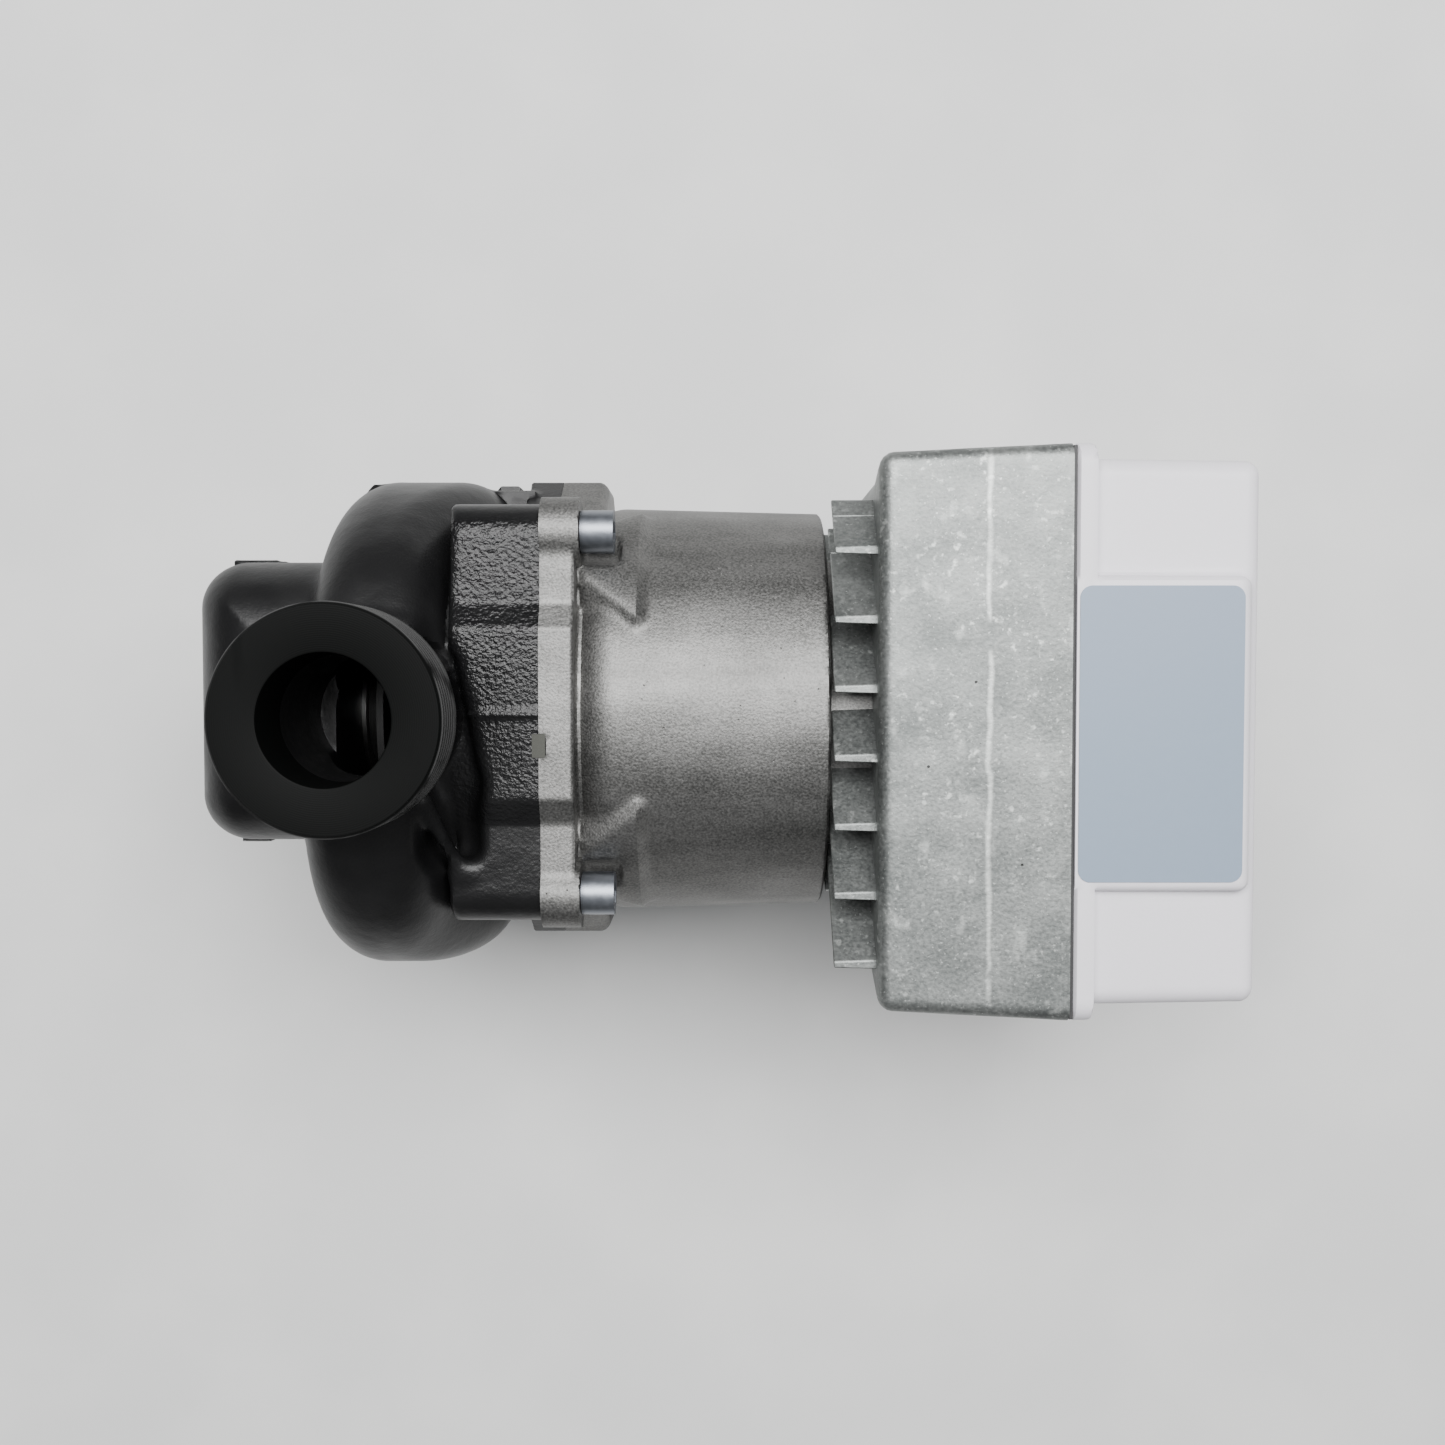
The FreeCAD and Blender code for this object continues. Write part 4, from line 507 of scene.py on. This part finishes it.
def sink_fins(material):
    """Slanting fins as prisms, each in two parts that stop at the barrel's neck.

    Each fin lies along the line y + z = c, for c in steps of the pitch. On it y runs from where the line
    enters the square fin field to where it leaves, and the neck's circle cuts out the middle. The fin is
    a little thicker at its root.
    """
    tall = FIN_TALL
    count = np.arange(-9, 4)
    centre = FIN_OFFSET + FIN_PITCH * count
    low = np.where(count < -3, BOX_Y - 40.0, BOX_Y - 54.4)[:, None, None]
    high = np.where(count < 3, BOX_Y + 48.0, BOX_Y + 53.6)[:, None, None]
    side = np.array([-1, 1])
    half = np.array([FIN_THICK_FRONT, FIN_THICK_ROOT]) / 2
    line = centre[:, None, None] + side[None, :, None] * math.sqrt(2) * half
    start = (np.clip(line - tall, low, high) - line / 2) * math.sqrt(2)
    end = (np.clip(line + tall, low, high) - line / 2) * math.sqrt(2)
    chord = np.sqrt(np.maximum(NECK_REACH**2 - line**2 / 2, 0))
    ends = np.stack([np.stack([start, np.minimum(end, -chord)]), np.stack([np.maximum(start, chord), end])])
    along = ends[..., None] / math.sqrt(2)
    y_z = np.concatenate([line[..., None] / 2 + along, line[..., None] / 2 - along], -1)
    x = np.broadcast_to(np.array([FIN_FRONT, MOTOR_END + 1.0]), y_z.shape[:-1])[..., None]
    points = np.concatenate([x, y_z], -1)
    # The axes are now part, end, fin, side, front or root, and place.
    points = points.transpose(0, 2, 1, 3, 4, 5).reshape(-1, 8, 3)
    points = points[np.abs(points[:, 0] - points[:, 4]).max(1) > 3.0]
    cube = np.array([(0, 1, 3, 2), (4, 6, 7, 5), (0, 4, 5, 1), (2, 3, 7, 6), (0, 2, 6, 4), (1, 5, 7, 3)])
    faces = (np.arange(len(points))[:, None, None] * 8 + cube).reshape(-1, 4)
    fins = mesh_piece("sink_fins", points.reshape(-1, 3), faces, material)
    soften = fins.modifiers.new("edges", "BEVEL")
    soften.width = 0.3 * MM
    soften.segments = 2
    return fins


# ---------------------------------------------------------------- the plastic cover

COVER_START, COVER_END = (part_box("electronics_cover")[n].x / MM for n in (0, 1))
RIM_HALF = (64.4, 60.2)
RAISED_HALF = (61.3, 57.2)
BAND_HALF = 34.9
RIM_DEPTH = 4.6
COVER_ROUND = 3.0


def cover_field(p):
    """Rim, raised body and the band across it, each with soft edges, over a hollow inside."""
    x, y, z = p
    side, tall = np.abs(y - BOX_Y), np.abs(z)
    draft = 0.012 * (x - COVER_START)
    rim = corner(side - RIM_HALF[0] + 5, tall - RIM_HALF[1] + 5, 5)
    rim = corner(rim + 1.2, span(x, COVER_START, COVER_START + RIM_DEPTH, 1.2), 1.2)
    raised = corner(side - RAISED_HALF[0] + draft + 4, tall - RAISED_HALF[1] + draft + 4, 4)
    raised = corner(raised + COVER_ROUND, span(x, COVER_START - 5, COVER_END, COVER_ROUND), COVER_ROUND)
    band = corner(side - BAND_HALF + 2.0, tall - RIM_HALF[1] + 2.0, 2.0)
    band = corner(band + COVER_ROUND, span(x, COVER_START - 5, COVER_END - 2.6, COVER_ROUND), COVER_ROUND)
    body = join(np.minimum(rim, band), raised, 1.6)
    room = block(p, (COVER_START - 4, COVER_END - 2.8), ROOM_Y, ROOM_Z, 2.5)
    return carve(np.maximum(body, COVER_START - x), room, 0.4)


# ---------------------------------------------------------------- shader maths


class Value:
    """A socket of a shader tree. Sums on it become Math nodes."""

    def __init__(self, socket):
        self.socket = socket

    def node(self, kind, settings, sockets, output=0):
        """A node in this tree: its settings are set first, then the values or links of its sockets."""
        tree = self.socket.id_data
        made = tree.nodes.new("ShaderNode" + kind)
        for name, setting in settings.items():
            setattr(made, name, setting)
        for name, value in sockets.items():
            feed(made.inputs[name], value)
        return Value(made.outputs[output])

    def maths(self, operation, first, second=0.0):
        return self.node("Math", {"operation": operation}, {0: first, 1: second})

    def __add__(self, other):
        return self.maths("ADD", self, other)

    def __sub__(self, other):
        return self.maths("SUBTRACT", self, other)

    def __rsub__(self, other):
        return self.maths("SUBTRACT", other, self)

    def __mul__(self, other):
        return self.maths("MULTIPLY", self, other)

    def __truediv__(self, other):
        return self.maths("DIVIDE", self, other)

    def __pow__(self, other):
        return self.maths("POWER", self, other)

    def __abs__(self):
        return self.maths("ABSOLUTE", self)

    __radd__ = __add__
    __rmul__ = __mul__

    def wave(self):
        return self.maths("SINE", self)

    def rise(self, low, high):
        """0 below low, 1 above high, and eased between them. Low may be the larger, which turns it round."""
        sockets = {"Value": self, "From Min": low, "From Max": high}
        return self.node("MapRange", {"interpolation_type": "SMOOTHSTEP"}, sockets)

    def blend(self, first, second):
        """A colour that goes from first at 0 to second at 1."""
        return self.node("Mix", {"data_type": "RGBA"}, {0: self, 6: first, 7: second}, 2)

    def noise(self, size, detail=3.0, stretch=(1, 1, 1)):
        """Cloudy noise whose lumps are about size millimetres, drawn out by stretch along x, y and z."""
        scale = [1 / (size * MM * s) for s in stretch]
        vector = self.node("VectorMath", {"operation": "MULTIPLY"}, {0: self, 1: scale})
        return self.node("TexNoise", {}, {"Vector": vector, "Scale": 1.0, "Detail": detail})

    def cells(self, size):
        """Distance from the middles of scattered cells of about size millimetres, 0 to 1."""
        return self.node("TexVoronoi", {}, {"Vector": self, "Scale": 1 / (size * MM)})

    def bump(self, height):
        """A normal that stands as high as the value, in millimetres times height."""
        return self.node("Bump", {}, {"Strength": 1.0, "Distance": height * MM, "Height": self})


def feed(socket, value):
    """Link a Value to a socket, or set a plain number or colour on it."""
    if isinstance(value, Value):
        socket.id_data.links.new(value.socket, socket)
        return
    if socket.type == "RGBA" and len(value) == 3:
        value = (*value, 1.0)
    socket.default_value = value


class Finish:
    """A material under way, with the place on the surface as a vector and as x, y, z about the motor axis."""

    def __init__(self, name, **sockets):
        self.material = bpy.data.materials.new(name)
        self.material.use_nodes = True
        self.shader = self.material.node_tree.nodes["Principled BSDF"]
        self.place = Value(self.shader.outputs[0]).node("TexCoord", {}, {}, "Object")
        split = self.place.node("SeparateXYZ", {}, {"Vector": self.place})
        parts = [Value(split.socket.node.outputs[n]) for n in range(3)]
        self.x, self.y = parts[0] / MM, parts[1] / MM
        self.z = parts[2] / MM - AXIS
        self.set(**sockets)

    def set(self, **sockets):
        """Values for the shader's sockets, by their names with low lines for spaces."""
        for name, value in sockets.items():
            feed(self.shader.inputs[name.replace("_", " ").title().replace("Ior", "IOR")], value)
        return self.material


# ---------------------------------------------------------------- finishes


def painted_iron():
    """Black paint on a sand casting: satin, and thick and glossy with a coarse peel on the block."""
    f = Finish("painted_iron", specular_ior_level=0.27)
    on_block = f.x.rise(16.0, 18.5) * f.z.rise(38.0, 44.0) * abs(f.y).rise(45.5, 43.5)
    smooth_band = f.y.rise(-46.0, -43.5) * f.y.rise(-24.0, -26.0)
    glossy = on_block * (1 - smooth_band * 0.8)
    peel = f.place.noise(0.95, 2.0)
    fine = f.place.noise(0.5, 2.0)
    lumps = f.place.noise(9.0, 2.0)
    height = peel * (0.04 + 0.27 * glossy) + fine * 0.03 + lumps * 0.30
    dust = f.place.noise(24.0, 4.0).rise(0.42, 0.75)
    roughness = 0.36 + 0.10 * dust - 0.16 * glossy + 0.05 * fine
    colour = dust.blend((0.0045, 0.0045, 0.0048), (0.008, 0.008, 0.0083))
    return f.set(base_color=colour, roughness=roughness, normal=height.bump(1.0))


def machined_iron():
    """Black union port: turned face with faint rings, thread crests worn a little bright."""
    f = Finish("machined_iron", specular_ior_level=0.05)
    away = (f.x * f.x + f.y * f.y) ** 0.5
    on_face = f.z.rise(PORT - 0.5, PORT - 0.1)
    rings = (away * 14.0 + f.place.noise(3.0) * 2.0).wave() * 0.004 * on_face
    worn = away.rise(PORT_RADIUS - 0.35, PORT_RADIUS - 0.05) * f.place.noise(12.0).rise(0.30, 0.50)
    colour = worn.blend((0.0022, 0.0024, 0.0023), (0.05, 0.05, 0.05))
    scuffs = f.place.noise(6.0, 5.0, (1, 4, 1)).rise(0.55, 0.75)
    return f.set(base_color=colour, roughness=0.52 + 0.12 * scuffs - 0.16 * worn, normal=rings.bump(1.0))


def cast_aluminium():
    """Blasted die casting: fine bright grain over dull grey, with long flow marks along the motor."""
    f = Finish("cast_aluminium", metallic=1.0)
    grain = f.place.noise(0.55, 3.0)
    flow = f.place.noise(7.0, 4.0, (6, 1, 1))
    cloud = f.place.noise(16.0, 3.0)
    pits = f.place.cells(2.2).rise(0.12, 0.02) * f.place.noise(5.0).rise(0.5, 0.6)
    shine = grain * 0.52 + flow * 0.26 + cloud * 0.22
    colour = shine.rise(0.30, 0.72).blend((0.082, 0.082, 0.079), (0.235, 0.232, 0.226))
    dark = pits.blend(colour, (0.12, 0.115, 0.11))
    height = grain * 0.08 + flow * 0.04 - pits * 0.10
    return f.set(base_color=dark, roughness=0.42 + 0.20 * grain, normal=height.bump(1.0))


def raw_aluminium():
    """Tumbled casting: mottled grey, whitish bruises and specks, and a pale mould line round the box."""
    f = Finish("raw_aluminium")
    cloud = f.place.noise(13.0, 5.0)
    grain = f.place.noise(0.8, 4.0)
    patch = f.place.noise(9.0, 3.0).rise(0.40, 0.62)
    bruise = f.place.noise(1.9, 6.0).rise(0.57, 0.72) * patch
    wipe = f.place.noise(4.5, 6.0, (1, 1.8, 1)).rise(0.58, 0.74)
    specks = f.place.noise(0.75, 2.0).rise(0.64, 0.74)
    tone = cloud * 0.5 + grain * 0.5
    colour = tone.rise(0.30, 0.68).blend((0.115, 0.123, 0.120), (0.235, 0.245, 0.238))
    line = abs(f.x - MOULD_LINE + (f.place.noise(9.0, 1.0) - 0.5) * 2.0)
    flash = line.rise(0.9, 0.1) * f.place.noise(7.0, 2.0).rise(0.30, 0.50)
    light = bruise * 0.55 + wipe * 0.30 + specks * 0.40 + flash * 0.55
    pale = light.blend(colour, (0.56, 0.58, 0.56))
    pit = f.place.cells(7.5).rise(0.045, 0.02)
    spotted = pit.blend(pale, (0.06, 0.06, 0.06))
    height = grain * 0.06 + cloud * 0.25 - pit * 0.25 + flash * 0.05
    return f.set(base_color=spotted, metallic=0.85, roughness=0.38 + 0.22 * grain, normal=height.bump(1.0))


def zinc_steel():
    """Bright zinc plate on steel, a little blue, with a faint mottle."""
    f = Finish("zinc_steel", metallic=1.0)
    cloud = f.place.noise(1.6, 3.0)
    colour = cloud.blend((0.17, 0.182, 0.205), (0.25, 0.265, 0.292))
    return f.set(base_color=colour, roughness=0.34 + 0.14 * cloud, normal=(cloud * 0.03).bump(1.0))


def even_sheen(name, dark, light, size, roughness, metallic):
    """A plain even finish: two close colours mixed in fine clouds, with a slight relief."""
    f = Finish(name, metallic=metallic)
    cloud = f.place.noise(size, 3.0)
    height = (cloud * 0.02).bump(1.0)
    return f.set(base_color=cloud.blend(dark, light), roughness=roughness + 0.08 * cloud, normal=height)


# Each even finish: its darker and lighter colour, cloud size in millimetres, roughness and metallic.
EVEN = {
    "stainless": ((0.20, 0.20, 0.20), (0.27, 0.27, 0.265), 2.0, 0.34, 1.0),
    "carbon": ((0.02, 0.02, 0.02), (0.04, 0.04, 0.04), 0.8, 0.42, 0.0),
    "ceramic": ((0.72, 0.70, 0.64), (0.80, 0.78, 0.73), 1.5, 0.18, 0.0),
    "black_rubber": ((0.011, 0.011, 0.012), (0.020, 0.020, 0.021), 1.2, 0.55, 0.0),
    "olive_plastic": ((0.024, 0.025, 0.019), (0.036, 0.037, 0.029), 1.0, 0.60, 0.0),
    "impeller_plastic": ((0.007, 0.007, 0.007), (0.011, 0.011, 0.011), 1.4, 0.55, 0.0),
    "magnet": ((0.10, 0.10, 0.11), (0.15, 0.15, 0.16), 1.0, 0.40, 0.6),
    "lamination": ((0.24, 0.24, 0.25), (0.34, 0.34, 0.35), 0.6, 0.45, 0.9),
    "copper_wire": ((0.50, 0.17, 0.06), (0.66, 0.26, 0.11), 0.5, 0.30, 0.9),
    "insulator_plastic": ((0.66, 0.62, 0.52), (0.74, 0.70, 0.60), 1.5, 0.45, 0.0),
    "white_plastic": ((0.61, 0.595, 0.63), (0.64, 0.625, 0.66), 0.7, 0.40, 0.0),
    "label_film": ((0.172, 0.222, 0.292), (0.179, 0.230, 0.301), 2.5, 0.40, 0.0),
    "board_green": ((0.015, 0.11, 0.045), (0.025, 0.16, 0.065), 2.5, 0.30, 0.0),
    "capacitor_black": ((0.012, 0.012, 0.014), (0.025, 0.025, 0.028), 1.4, 0.28, 0.0),
    "ferrite": ((0.045, 0.045, 0.048), (0.075, 0.075, 0.08), 0.9, 0.50, 0.0),
    "terminal_grey": ((0.30, 0.31, 0.32), (0.36, 0.37, 0.38), 1.2, 0.42, 0.0),
    "capacitor_yellow": ((0.62, 0.42, 0.05), (0.70, 0.50, 0.09), 1.4, 0.35, 0.0),
    "thermal_film": ((0.34, 0.40, 0.47), (0.42, 0.48, 0.55), 1.1, 0.55, 0.0),
    "gland_grey": ((0.24, 0.25, 0.26), (0.28, 0.29, 0.30), 1.2, 0.45, 0.0),
}


finishes = {name: even_sheen(name, *look) for name, look in EVEN.items()}
finishes["black_iron"] = painted_iron()
finishes["cast_aluminium"] = cast_aluminium()
finishes["raw_aluminium"] = raw_aluminium()
finishes["zinc_steel"] = zinc_steel()
port_finish = machined_iron()

# ---------------------------------------------------------------- the pieces

STEP = 1.1


def stand_in(piece, node):
    """The piece takes the CAD node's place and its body."""
    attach(piece, "pump_body")
    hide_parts(node)


for part in frame["record"]["subparts"]:
    node = frame["nodes"][part["node"]]
    node.data.materials.clear()
    node.data.materials.append(finishes[part["material_slot"]])

iron = casting("iron_casting", iron_field, (-53, -72, -78), (41, 64, 80), STEP, finishes["black_iron"])
stand_in(iron, "pump_housing")
for name, up in (("upper_union_port", 1), ("lower_union_port", -1)):
    port = union_port(name, up, port_finish)
    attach(port, "pump_body")

MOTOR_STEP = STEP * 0.85
barrel = casting("motor_casting", motor_field, (35, -62, -62), (118, 62, 62), MOTOR_STEP, finishes["cast_aluminium"])
stand_in(barrel, "motor_housing")

sink_low, sink_high = (FIN_FRONT - 3, BOX_Y - 68, -64), (BOX_OPEN + 3, BOX_Y + 68, 64)
sink = casting("sink_casting", sink_field, sink_low, sink_high, STEP, finishes["raw_aluminium"])
stand_in(sink, "heat_sink_housing")
fins = sink_fins(finishes["raw_aluminium"])
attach(fins, "pump_body")

cover_low, cover_high = (COVER_START - 3, BOX_Y - 68, -64), (COVER_END + 3, BOX_Y + 68, 64)
cover = casting("cover_moulding", cover_field, cover_low, cover_high, STEP, finishes["white_plastic"])
stand_in(cover, "electronics_cover")

# ---------------------------------------------------------------- floor, lights and camera


def pale_floor():
    """A wide square plate under the lower port, lightly stained."""
    f = Finish("pale_floor", roughness=0.75)
    stain = f.place.noise(70.0, 4.0).rise(0.35, 0.70)
    colour = stain.blend((0.585, 0.588, 0.585), (0.635, 0.635, 0.628))
    side = 1500.0
    corners = np.array([(-1, -1), (1, -1), (1, 1), (-1, 1)]) * side
    points = np.column_stack([corners, np.full(4, -AXIS - 0.2)])
    return mesh_piece("floor", points, [(0, 1, 2, 3)], f.set(base_color=colour))


def lamp(name, place, aim, size, power):
    """A soft oblong light at place, in millimetres about the motor axis, that points at aim."""
    light = bpy.data.lights.new(name, "AREA")
    light.shape = "RECTANGLE"
    light.size, light.size_y = size[0] * MM, size[1] * MM
    light.energy = power
    lit = bpy.data.objects.new(name, light)
    start = Vector((place[0], place[1], place[2] + AXIS)) * MM
    end = Vector((aim[0], aim[1], aim[2] + AXIS)) * MM
    lit.matrix_world = Matrix.Translation(start) @ (end - start).to_track_quat("-Z", "Y").to_matrix().to_4x4()
    bpy.context.scene.collection.objects.link(lit)


pale_floor()
lamp("ceiling", (60, 420, 1200), (80, 0, 0), (1300, 700), 41.0)
lamp("window", (500, 300, 1000), (60, 0, 0), (500, 500), 4.0)

world = bpy.data.worlds.new("room")
world.use_nodes = True
background = world.node_tree.nodes["Background"]
heading = Value(background.outputs[0]).node("TexCoord", {}, {}, "Generated")
above = heading.node("SeparateXYZ", {}, {"Vector": heading}, "Z").rise(-0.1, 0.9)
feed(background.inputs["Color"], above.blend((0.13, 0.13, 0.13), (0.62, 0.63, 0.64)))
feed(background.inputs["Strength"], 0.62)
bpy.context.scene.world = world

# The camera looks down the pipe from above, a little off square.
CAMERA_PLACE = Vector((0.0797, 0.01005, 0.4649))
CAMERA_LOOK = Vector((0.0, -0.0366, -0.9993))
CAMERA_UP = Vector((0.0, 0.9993, -0.0366))
lens = bpy.data.cameras.new("camera")
lens.lens = 35.65
lens.sensor_width = 36.0
camera = bpy.data.objects.new("camera", lens)
turn = Matrix((CAMERA_LOOK.cross(CAMERA_UP), CAMERA_UP, -CAMERA_LOOK)).transposed().to_4x4()
camera.matrix_world = Matrix.Translation(CAMERA_PLACE) @ turn
bpy.context.scene.collection.objects.link(camera)
bpy.context.scene.camera = camera
